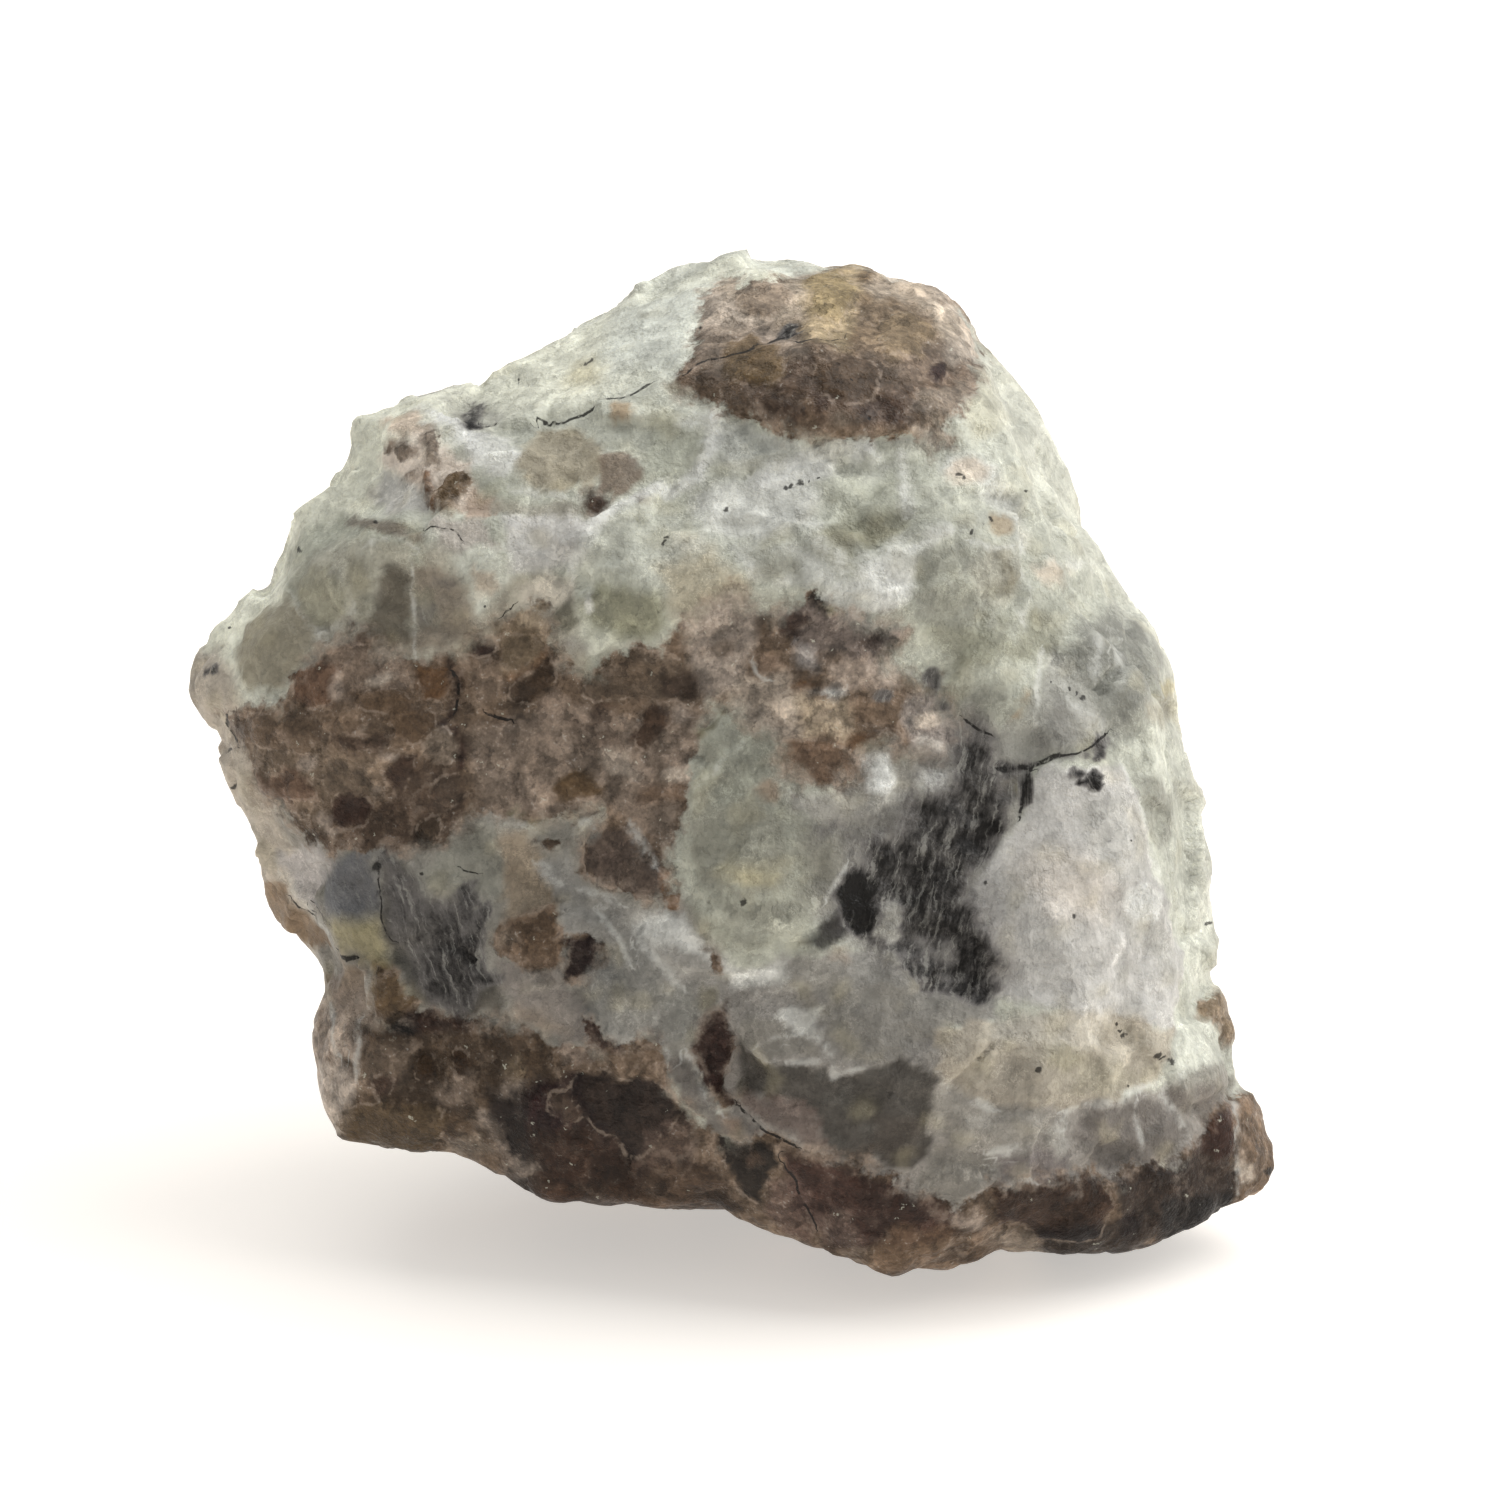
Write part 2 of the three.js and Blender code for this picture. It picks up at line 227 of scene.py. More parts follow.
lay(pale, "#7f776b", area((-12.1, 7.7), (-11.2, 7.8), (-10.6, 7.1), (-9.8, 6.2), (-9.6, 5), (-11.2, 4.4),
    (-12.2, 4.4)), 0.6)
lay(pale, MOSS, area((-12.1, 6.7), (-11.6, 6.8), (-11.4, 5.5), (-12.1, 5.3)), 0.4, 0.5)
lay(pale, "#8a8474", area((-19, 4.4), (-18.6, 5.5), (-17.6, 6.2), (-16.8, 6.3), (-16.2, 5.4), (-16, 4.6),
    (-16.7, 3.6), (-17.3, 3), (-17.8, 2.8), (-18.4, 2.9), (-18.8, 3.7)), 0.45, 0.95, 0.12)
lay(pale, "#6a6056", band(0.5, (-14.4, 9.4), (-13.6, 9.2), (-12.8, 9), (-12, 8.9)), 0.4, 0.8)
lay(pale, "#aaa49b", area((-11.9, 9.6), (-9.4, 9.2), (-9, 8.2), (-10, 7.8), (-11.4, 8.5)), 0.5)
lay(pale, MILK, area((-11, 8), (-9.6, 8.4), (-8.2, 7.8), (-8.6, 6.8), (-9.6, 6), (-10, 7)), 0.5)
lay(pale, "#b3a999", area((-10, 7.5), (-9.2, 7.4), (-8.6, 6.9), (-9.2, 6.5), (-9.8, 6.9)), 0.3)
lay(pale, "#bbb9b3", area((-8.8, 9.6), (-6.2, 9.8), (-5, 9.2), (-6, 7.8), (-7.6, 7.4), (-8.6, 7.8)), 0.7)
lay(pale, "#b5afa2", area((-8.1, 7.1), (-7.2, 7.4), (-6.2, 7.2), (-6.1, 6.2), (-6.6, 5), (-7.2, 5.8),
    (-8.2, 6.5)), 0.5)
lay(pale, "#908877", area((-7.4, 12.9), (-6.3, 13.1), (-5.3, 12.7), (-4.9, 12.1), (-4.9, 11.3),
    (-5.4, 10.7), (-6.5, 10.4), (-7.6, 10.6), (-8.2, 11.4), (-8, 12.2)), 0.35, 0.9, 0.05)
lay(pale, "#766a5e", area((-5, 11.9), (-4.2, 12.1), (-3.6, 11.6), (-3.4, 11.1), (-3.8, 10.4), (-4.5, 10.2),
    (-5, 10.7)), 0.25, 0.9, 0.15)
lay(pale, "#9a968a", band(0.45, (-9, 10), (-7.6, 9.8), (-6, 9.9)), 0.3, 0.8)
lay(pale, SAND, area((-4.5, 14), (-3.8, 13.8), (-3.5, 13.3), (-4, 13.2), (-4.6, 13.4)), 0.25)
lay(pale, SAGE, area((-3, 13.2), (-2.2, 13.4), (-1.7, 13.1), (-1.3, 12.7), (-1.1, 12), (-1.2, 11.6),
    (-1.7, 11.2), (-2.4, 10.9), (-3, 11.1), (-3.4, 11.5), (-3.2, 12.2)), 0.3, 1, 0.12)
# Just under the knob's lower edge: sage feldspar, darkened in part as painted shadow cast by the overhanging
# knob.
lay(pale, "#adaea6", area((-0.6, 13.4), (1, 13), (3, 12.5), (7.4, 12.6), (4, 12.2), (2.2, 11.4),
    (0.4, 11.2), (-0.6, 11.6)), 0.5)
lay(pale, CHALK, area((0.8, 11), (2.2, 11.2), (3.2, 11.8), (4.4, 12.3), (6.6, 11.7), (6, 11.2), (3.8, 11),
    (1.4, 10.5)), 0.6, 0.8)
lay(pale, CHALK, area((-1.6, 10.4), (0, 11), (3.2, 11), (3.4, 9.2), (1, 8.6), (-1, 9)), 0.9, 0.7)
lay(pale, SAGE, area((4.2, 12), (6.6, 11.6), (6.7, 9.9), (4.2, 9.4), (3.8, 10.4)), 0.6, 0.7)
lay(pale, CHALK, band(0.8, (8.4, 11.6), (9.6, 11.4), (10.6, 10.2), (11.3, 8.8)), 0.8, 0.6)
lay(pale, MOSS, area((3.9, 9.3), (5, 9.6), (6.6, 9.8), (7, 9.2), (6.8, 8.8), (6, 8.3), (5.2, 7.8),
    (4.6, 7.5), (4.1, 8.1), (3.6, 9)), 0.35, 0.75, -0.1)
lay(pale, CHALK, area((4.6, 7.3), (6, 8.2), (8.4, 9), (7.4, 8), (7, 6.2), (4.8, 5.8), (3.6, 6.4)), 0.5, 0.7)
lay(pale, CHALK, area((0, 8.4), (3.4, 8.4), (4.4, 7.4), (4, 6.6), (2, 7), (0.6, 7.4)), 0.6, 0.6)
lay(pale, MOSS, area((0.3, 8.2), (1.4, 8.4), (2.6, 8), (2.8, 7.3), (1.4, 7.2)), 0.6, 0.6)
lay(pale, MOSS, area((7.1, 8), (8.2, 8.3), (9.3, 8.3), (10.4, 8.2), (10.9, 7), (10.2, 6.2), (9, 6.1),
    (8.2, 5.9), (7.3, 6.2), (7, 7)), 0.7, 0.75, -0.1)
lay(pale, SAND, spot(10.4, 7.4, 0.9, 1.1), 0.8, 0.35)
lay(pale, MOSS, area((7.2, 5.5), (9.8, 6), (11.6, 6), (12.6, 5), (12, 4), (10.2, 4), (8.6, 3.6), (8, 4.6)),
    0.8, 0.8)
lay(pale, MOSS, area((4, 9.4), (3.9, 8.5), (5, 7.6), (6.6, 9.4), (6.4, 10), (4.6, 9.9)), 0.5, 0.5, -0.15)
lay(pale, "#929288", area((7, 7.4), (7.9, 8.5), (9.6, 9), (10.5, 8.2), (10.7, 6.8), (10.3, 5.5), (8.8, 5.1),
    (7.2, 5.7)), 0.5, 0.6, -0.1)
lay(pale, "#a0a197", band(0.6, (2.6, 9), (3.6, 8.2), (4.5, 7.4), (5.8, 8.2), (7.2, 8.8), (9.6, 9.5)), 0.5,
    0.85, 0.15)
lay(pale, CHALK, band(0.5, (-0.7, 13.3), (-0.8, 11.9), (-1.6, 11), (-3.6, 10.3), (-5.1, 9.3), (-6, 7.6)),
    0.5, 0.8, 0.15)
lay(pale, CHALK, band(0.5, (1, 11), (2.5, 11.6), (4, 12.1), (5.3, 12.3)), 0.5, 0.8, 0.12)
lay(pale, CHALK, band(0.4, (6.8, 11.8), (6.7, 9.6)), 0.4, 0.5, 0.08)
lay(pale, "#9c9d93", band(0.5, (10.9, 9.2), (11.1, 7.6), (11.2, 6.2), (10.8, 5)), 0.5, 0.6, 0.1)
lay(pale, CHALK, area((4.6, 7.3), (5.6, 6.2), (6.8, 6.4), (6.9, 7.8), (5.9, 8)), 0.7, 0.6)
lay(pale, "#9a8d78", spot(10.4, 9.3, 0.42, 0.5), 0.3, 0.9)
lay(pale, SHELL, spot(9.1, 11.3, 0.7, 0.5), 0.5, 0.7)
lay(pale, SHELL, spot(12.4, 7.5, 0.5, 0.4), 0.5, 0.7)
lay(pale, "#b4b19e", area((9.4, 15.4), (10.6, 15), (11.4, 13.4), (9.4, 12.6), (9, 13.6)), 0.8, 0.8)
# painted glow: light getting through the thin right edge
lay(pale, "#b5b5a9", band(2.2, (10.6, 15.2), (12.4, 12.6), (13.4, 10), (15, 7.6), (16.6, 5.2), (17.6, 2.6),
    (18.4, 0), (18.8, -4), (19.2, -8), (19.6, -11.6)), 1.4, 0.9)
lay(pale, STRAW, spot(-2.6, 8.8, 0.8, 0.45), 0.7, 0.7)
lay(pale, SHELL, spot(-1.8, 8.6, 0.7, 0.4), 0.6, 0.6)
lay(pale, MILK, area((-6, 7.6), (-5.4, 8.6), (-3, 10.4), (-1, 9.6), (0, 7.4), (-2, 6.2), (-4, 7.4)), 0.8, 0.7)
lay(pale, "#83826f", area((-6, 6.4), (-4.8, 7), (-2.8, 6.6), (-2.2, 5.6), (-3.4, 4.8), (-5.2, 5.2)), 0.7, 0.9)
lay(pale, "#b3a992", area((-2.8, 7.6), (-0.8, 8.2), (0.6, 7), (0.4, 5.4), (-1.2, 5), (-2.2, 5.8)), 1.0, 0.7)
lay(pale, HAZE, area((-6.9, 4.6), (-6, 5.1), (-5.5, 4.7), (-5.7, 3.8), (-6.6, 3.7)), 0.5, 0.7)
lay(pale, "#5f5e52", area((-7, 6), (-6.2, 6.5), (-5.8, 5.6), (-6.2, 5), (-7, 5.1)), 0.4, 0.8)
lay(pale, CHALK, spot(-5.5, 6.4, 0.22, 0.4), 0.3, 0.8)

# Right of the dark seam: a frosted slab, a grey streaky field above it and the green strip beyond.
lay(pale, "#454343", area((12, 4.2), (12.8, 4.4), (13.4, 5.5), (14.6, 6), (15.6, 5.4), (16.4, 4.2),
    (16.2, 2.4), (15.6, 1), (14.8, 0.6), (12.8, 0.5), (10.6, 0.1), (10.3, 1), (11.5, 1.8)), 1.4, 0.6)
lay(pale, MIST, area((10.3, 1.6), (11.4, 2.4), (12.2, 4), (13, 4.2), (14.6, 1.4), (12.6, 0.4), (10.6, 0.1)),
    0.6, 0.8)
lay(pale, "#4a4742", spot(9.6, 2.3, 1, 0.8), 0.9, 0.5)
lay(pale, SAND, band(0.25, (10.9, 2), (11.3, 2.9)), 0.3, 0.7)
lay(pale, "#55534a", area((10.2, -0.5), (11.3, -0.5), (11.1, -1.4), (10.5, -1.5)), 0.3, 0.9)
lay(pale, STRAW, spot(16.5, 2.9, 0.28), 0.3, 0.8)
lay(pale, "#8f8878", spot(16.5, 2, 0.6, 0.5), 0.5, 0.6)
lay(pale, "#b1afaa", area((11.8, 0), (13, -0.1), (15, 0), (15.6, -1), (16.1, -3), (16.6, -5), (17.6, -8),
    (17, -10.4), (10.4, -9), (10.2, -7), (9, -5.2), (9.6, -4.2), (11.1, -2.2), (11.6, -1.2)), 0.4, 1, 0.1)
lay(pale, "#7d7c73", area((15.5, -0.4), (16.5, -0.6), (17.2, -1.6), (17.2, -2.8), (16.4, -3.3),
    (16.1, -2.6), (15.8, -1.5)), 0.4, 0.7)
lay(pale, CHALK, area((15.2, -4.9), (15.9, -4.5), (16.4, -5), (16.2, -6), (15.6, -5.9), (15.2, -5.4)), 0.2,
    0.8, 0.1)
lay(pale, MIST, area((13.4, -1.4), (15, -1.2), (15.8, -3), (16, -4.4), (14.6, -4.4), (13.8, -3)), 0.8, 0.35)
lay(pale, MIST, area((15, -5.8), (16.4, -6), (17.4, -7.8), (16.8, -8.2), (15.6, -6.8)), 0.4, 0.4)
lay(pale, "#bab6b0", area((9, -5.4), (10.6, -6), (11, -7.4), (10.6, -9), (9, -8.8)), 1.2, 0.8)
lay(pale, SHELL, spot(13, -4.6, 2, 1.2, -30), 1.5, 0.3)

# The middle: a green swelling with a pale ledge under it.
lay(pale, "#727065", area((-1.2, 1), (0.2, 1.6), (1.4, 1.2), (1.8, 0), (2.1, -1.2), (3, -2), (4, -2.3),
    (4.3, -3.5), (4.2, -4.4), (3.7, -5.2), (2.8, -6), (1.4, -6.4), (0, -5.9), (-1, -4.8), (-1.6, -3.6),
    (-1.7, -2.4), (-1.4, -0.8)), 1.3, 0.75, 0.5)
lay(pale, "#8f9084", area((-1.6, 1.2), (0.4, 2), (2.6, 1.2), (4, -0.8), (4.8, -2.6), (3.6, -3), (2, -0.6),
    (0, -0.4)), 0.9, 0.55, 0.5)
lay(pale, "#a6a697", band(0.4, (-0.9, -4.9), (0.6, -5.4), (2.2, -5)), 0.6, 0.55, 0.4)
lay(pale, "#9b9c8f", band(0.35, (1.2, -1), (2.2, -2.4), (2.4, -4.2)), 0.5, 0.5, 0.4)
lay(pale, "#6f6d5f", area((-1.6, -5.4), (0.2, -6.2), (1.6, -6.9), (0.2, -7.2), (-1.4, -6.6)), 0.7, 0.5, 0.3)
lay(pale, SAGE, band(0.5, (-1.2, -0.8), (-0.4, 0), (0.5, 0.9)), 0.4, 0.9)
lay(pale, SAGE, spot(0.4, -0.9, 0.9, 0.5, 30), 0.6, 0.7)
lay(pale, OLIVE, band(0.25, (-1.3, 1.1), (-0.7, 1.5), (-0.2, 2)), 0.3, 0.9)
lay(pale, STRAW, spot(0.6, -4.3, 0.8, 0.35), 0.6, 0.6)
lay(pale, "#2a251d", area((2.6, -6.8), (3.3, -6.1), (4.2, -5.4), (4.6, -6.2), (4.1, -7), (3.3, -7.3)), 0.5,
    0.9)
lay(pale, "#86837c", area((2.1, -1), (3.3, -1.3), (4.4, -1.2), (5.3, -1.3), (5.6, -1.8), (5, -2.6),
    (4.4, -2.8), (3.4, -2.1), (2.4, -2)), 0.3, 0.85, 0.1)
lay(pale, CHALK, area((5.1, 0.3), (5.8, 0.5), (6.2, 0), (6.3, -0.7), (5.8, -1), (5.1, -0.9)), 0.3, 0.9, 0.1)
lay(pale, BUFF, spot(1.5, -1, 0.5, 0.4), 0.4, 0.9)
lay(pale, MIST, area((6.2, 0.3), (7.4, 0), (8.6, 0.2), (8.6, -0.8), (7.2, -1.1), (6.4, -0.6)), 0.4, 0.9)
lay(pale, CHALK, area((7.1, -0.2), (8, -0.3), (8.2, -0.8), (7.4, -1.1), (7, -0.7)), 0.3, 0.8)
lay(pale, "#5c5a57", area((5.4, -1.8), (6.8, -1.4), (7.4, -1.6), (6.8, -2.8), (5.4, -3), (4.4, -2.8)), 0.4,
    0.7)
lay(pale, "#807d78", area((-0.4, -7.4), (0.5, -7.7), (3.6, -7.2), (6.2, -7.2), (7, -8.1), (10.2, -9),
    (10.6, -9.8), (7.8, -10.3), (8.2, -12), (6.4, -11.5), (4, -12.2), (3.4, -11.5), (1.4, -11.3),
    (0.3, -10.9), (-0.2, -9)), 0.4, 0.9)
lay(pale, DUSK, area((4, -8.5), (9.8, -9), (10, -9.8), (7.6, -10.6), (6.6, -11.2), (4.2, -11.4),
    (3.8, -9.8)), 0.7, 0.7)
lay(pale, DUSK, area((0.3, -9.7), (1.8, -9.7), (3, -10.3), (3.4, -11.3), (1.4, -11.2), (0.4, -10.8)), 0.4,
    0.8)
lay(pale, CHALK, area((-0.3, -7.5), (0.7, -7.7), (2.2, -7.6), (2.2, -8), (1, -8.6), (0.1, -8.7),
    (-0.2, -8)), 0.5, 0.8)
lay(pale, "#b0afa9", area((1.7, -9.6), (2.7, -9.3), (3.6, -9.2), (3.4, -10.2), (3.9, -11.3), (3.3, -10.7),
    (2.6, -10.2)), 0.25, 0.9, 0.08)
lay(pale, "#85796d", spot(4.2, -7.2, 0.5, 0.35), 0.4, 0.7)
lay(pale, "#484541", area((0.2, -10.9), (0.9, -11.1), (1.3, -11.4), (2.3, -11.7), (3.6, -11.5), (3.8, -12),
    (4.5, -12.1), (5.4, -11.8), (6.5, -11.5), (7.5, -11.8), (8.1, -12), (7.8, -13), (7.8, -14.5),
    (7.5, -15.2), (7, -15.7), (6.2, -15.8), (5.6, -15.4), (4.8, -15.3), (3.9, -14.9), (3.4, -13.7),
    (2.6, -13), (1.4, -12.7), (0.4, -12.6), (0.1, -11.8)), 0.35, 0.92, -0.15)
lay(pale, "#4f4842", area((5.6, -13.6), (7.6, -13.6), (7.4, -15.2), (6.4, -15.7), (5.4, -15)), 0.8, 0.4)
lay(pale, "#665a54", area((0.2, -12.8), (1.6, -12.8), (2.7, -13), (3.2, -13.4), (3.7, -14.3), (4, -15.1),
    (3.2, -14.9), (2.4, -14.2), (1.4, -13.8), (0.6, -13.3)), 0.3, 0.8)
lay(pale, BLUSH, spot(3.2, -14.9, 0.6, 0.4, -40), 0.4, 0.8)

# Low on the right: a straw-coloured field, a sage one under it, and grey where the brown begins.
lay(pale, "#9e9688", area((7.9, -10.3), (9, -9.9), (10.4, -9.8), (14.5, -9.4), (17, -10.4), (16.6, -12.2),
    (15, -12.8), (13, -13.3), (10, -13.1), (8.8, -12.7), (8.2, -12), (8.1, -11.2)), 0.3, 0.9)
lay(pale, "#827b70", area((8, -10.4), (9.6, -10), (9.4, -11.4), (8.9, -12.4), (8.3, -12)), 0.6, 0.5)
lay(pale, "#88837a", spot(10.9, -12.1, 1.3, 0.7), 0.9, 0.5)
lay(pale, "#bcb7ab", area((10.4, -9.6), (14.8, -9.4), (14.2, -10.8), (12, -10.9), (10.2, -10.5)), 0.7, 0.7)
lay(pale, "#8f8a76", spot(12.8, -11.3, 0.8, 0.45), 0.6, 0.7)
lay(pale, "#8d8877", area((13.4, -11.2), (15, -11.4), (16, -12.2), (14.4, -12.8), (13.2, -12.6)), 0.6, 0.5)
lay(pale, "#8f8b83", area((8.3, -12.2), (9.4, -13), (12.6, -13.4), (12.7, -14.2), (11, -14.8), (9, -15),
    (8, -14), (7.9, -12.6)), 0.5, 0.9)
lay(pale, DUSK, area((8, -15), (10.4, -14.9), (10.2, -15.7), (9.6, -16.6), (8.6, -17.1), (7, -16.3)), 0.5,
    0.8)
lay(pale, "#6e6866", area((10.3, -15), (13.4, -15), (13, -15.8), (11.4, -15.9), (10.4, -15.9)), 0.3, 0.8)
lay(pale, "#9b9891", area((12.3, -14.2), (12.7, -13.4), (13.2, -13.6), (13.2, -15.1), (12.6, -15.1)), 0.3,
    0.9, 0.1)
lay(pale, "#6a6560", area((13.3, -14.2), (14.2, -13.4), (15.4, -12.9), (16, -13), (17.2, -13.4),
    (17.8, -14.1), (17.2, -14.8), (16.8, -15.4), (14.6, -15.6), (13.8, -15.2)), 0.35, 0.85)
lay(pale, LEAD, area((14.3, -14.8), (15, -14.4), (15.5, -15.2), (15.2, -15.8), (14.5, -15.4)), 0.3, 0.5)
lay(pale, "#66605a", area((17, -12), (18.4, -11.4), (19.5, -12), (19.5, -13), (18.4, -13.8), (17.4, -13.4),
    (16.7, -13)), 0.5, 0.7)

# Low on the left: bluish grey masses, a green-white one between them, and honey-coloured stains.
lay(pale, LAVENDER, area((-17.6, -3.3), (-16, -3.2), (-15.2, -3.6), (-15.8, -5), (-16.2, -5.4),
    (-16.9, -4.5)), 0.4, 0.9)
lay(pale, "#5f6062", area((-15.8, -4.6), (-15.2, -3.6), (-14.5, -3.3), (-13.9, -3.3), (-13.4, -3.8),
    (-13.4, -5.8), (-14.5, -6.1), (-15.3, -6), (-15.8, -5.2)), 0.8, 1, 0.2)
lay(pale, "#7b7768", band(0.5, (-15.3, -6), (-14.3, -6.2), (-13.4, -5.7)), 0.8, 0.7, 0.3)
lay(pale, "#8a8264", area((-15.2, -6.1), (-13.4, -5.9), (-13.3, -7), (-13.1, -8), (-13.9, -8),
    (-14.6, -7.4)), 0.9, 0.8, 0.2)
lay(pale, "#74634a", area((-14, -7.6), (-13, -7.8), (-12.4, -9), (-13, -9.6), (-13.9, -9)), 0.5, 0.8)
lay(pale, "#32302b", area((-13.4, -3.4), (-12.3, -3.6), (-11.8, -5), (-10.8, -5.4), (-10, -5.2),
    (-9.9, -6.9), (-9.6, -8.2), (-9.8, -9.6), (-11, -9.6), (-11.7, -9.2), (-12.4, -8.2), (-13.1, -7.8),
    (-13.4, -6.4)), 0.4, 0.8)
lay(pale, OLIVE, spot(-12, -6.3, 0.7, 0.6), 0.5, 0.7)
lay(pale, "#87867c", area((-11.8, -3.9), (-10.6, -2.9), (-9, -2.2), (-8.7, -3.4), (-8.9, -5.4),
    (-9.8, -4.9), (-11.2, -5), (-12, -4.8)), 0.6, 0.8)
lay(pale, "#45423c", area((-12.4, -8.3), (-11.6, -8.2), (-11.2, -8.9), (-11.6, -9.4), (-12.3, -9.1)), 0.4,
    0.7)
lay(pale, "#35302a", area((-9.9, -8.8), (-9, -8.4), (-8.6, -8.9), (-8.8, -9.6), (-9.8, -9.4)), 0.4, 0.7)
lay(pale, "#867a6a", area((-9, -2.6), (-8, -2.4), (-7.2, -3.9), (-6.5, -5.8), (-6.6, -6.6), (-8.8, -5.8),
    (-9, -4.4)), 0.5, 0.9)
lay(pale, "#7b756f", area((-8.9, -7.5), (-8, -7.7), (-7.2, -8), (-6.6, -7.5), (-6.2, -8.1), (-5.7, -9.1),
    (-5.6, -9.9), (-5.2, -10.7), (-6.4, -10.6), (-7.3, -10.3), (-8.2, -9.6), (-8.7, -8.9)), 0.4, 0.95)
lay(pale, BUFF, area((-8.6, -9.2), (-7.4, -9.4), (-6, -10.2), (-7.3, -10.3), (-8.2, -9.7)), 0.6, 0.5)
lay(pale, "#86847f", area((-7.4, -3.8), (-6.4, -3.2), (-5.6, -4.4), (-5, -5), (-3.4, -5.4), (-2, -5.7),
    (-1, -6.6), (-0.3, -7.8), (-0.2, -9), (-0.7, -9.6), (-1.1, -10.2), (-1.6, -10.8), (-2.2, -11.2),
    (-3, -10.3), (-3.7, -10.6), (-4.2, -10.9), (-4.8, -10.3), (-5.5, -9.5), (-5.7, -8.2), (-5, -7),
    (-6.3, -6.6)), 0.35, 0.85)
lay(pale, SLATE, area((-5.5, -8.4), (-4.6, -7), (-3.6, -6.8), (-2.6, -8.2), (-2.6, -10.2), (-3.7, -10.5),
    (-4.8, -10.3), (-5.5, -9.4)), 0.5, 0.4)
lay(pale, SLATE, area((-2.5, -10.3), (-2.6, -9.2), (-2.2, -8.7), (-1.3, -8.6), (-1.1, -9.3), (-1.1, -10.2),
    (-1.7, -10.8), (-2.2, -10.8)), 0.25, 0.8, 0.15)
lay(pale, CHALK, area((-3.7, -5.9), (-2.9, -5.6), (-1.7, -6.1), (-1, -6.9), (-0.4, -7.6), (-1.3, -7.2),
    (-2.2, -7.1), (-3, -7.1), (-3.6, -6.6)), 0.4, 0.6)
lay(pale, OLIVE, spot(-0.9, -9.1, 0.35, 0.45), 0.3, 0.6)
lay(pale, "#625d59", area((-3, -10.1), (-2.4, -11.2), (-1.7, -11.2), (-1.3, -11.9), (-1, -12.7),
    (-0.4, -13.3), (0.4, -13.4), (1.2, -14.2), (0.2, -14.5), (-0.6, -14.3), (-1.4, -13.4), (-1.9, -12.9),
    (-2.3, -12), (-2.5, -11.3)), 0.25, 0.9, 0.12)
lay(pale, ROSE, spot(0, -13.7, 0.5, 0.35, -30), 0.3, 0.7)
lay(pale, "#70573c", area((-18.1, -4.7), (-17.6, -4.3), (-17, -4.6), (-16.8, -5.2), (-16.3, -6),
    (-15.6, -6.9), (-16.4, -7.2), (-17.4, -6.4), (-18.2, -5.6)), 0.3, 0.7)
lay(pale, "#75665a", area((-15.7, -8), (-14.2, -7.8), (-13.9, -9.6), (-14.2, -11.5), (-15.9, -11.4)), 0.4,
    0.7)
lay(pale, BUFF, band(0.3, (-14.9, -7.4), (-14.2, -9), (-14.2, -10.6), (-14.3, -12)), 0.3, 0.6)
lay(pale, SHELL, area((-15.7, -12.2), (-15, -11.5), (-14.4, -11.6), (-14.3, -12.6), (-14.8, -13.7),
    (-15.2, -14), (-15.7, -13)), 0.4, 0.7)

# The smoky quartz: three tracts of it, the knob on top, the broad one across the middle and the
# band along the foot. Each is a mosaic of brown grains with paler, pinkish joints between them.
def joined(*shapes):
    return np.maximum.reduce(shapes)


knob = area((-2.2, 14.7), (-1.6, 15.8), (-1.2, 17.2), (-1, 18.3), (-0.2, 18.7), (0.6, 18.4), (1.5, 18.6),
    (2.6, 19.2), (3.4, 19.1), (4.2, 19.6), (5, 19.5), (6.4, 18.8), (8.4, 18.4), (9.2, 16.8), (9.7, 15.6),
    (9.4, 15.3), (9.4, 14.6), (9, 13.6), (8.3, 13.4), (8.5, 12.4), (7.6, 12.1), (7, 12.7), (5.5, 12.6),
    (3.2, 12.5), (2, 12.8), (1, 13.3), (-0.8, 13.8), (-1.9, 14.1))
shoulder = joined(area((-13.3, 12.2), (-12.6, 12.7), (-12.2, 12.2), (-12.8, 11.9)), spot(-12.4, 11.3, 0.3,
    0.12), area((-11.8, 12.9), (-11.3, 12.9), (-11.3, 11.6), (-11.9, 11.7)), area((-12, 11.5),
    (-11.5, 11.5), (-11.4, 10.6), (-11.3, 9.9), (-11.7, 10.1), (-11.9, 10.8)), area((-11.1, 11),
    (-10.7, 11.4), (-10.2, 11.2), (-9.8, 10.8), (-10.2, 10.5), (-10.5, 10.2), (-10.5, 9.7), (-11, 9.5),
    (-11.3, 9.8), (-11.4, 10.3)), spot(-5.25, 10.1, 0.52, 0.5), spot(-3.4, 10.2, 0.15))
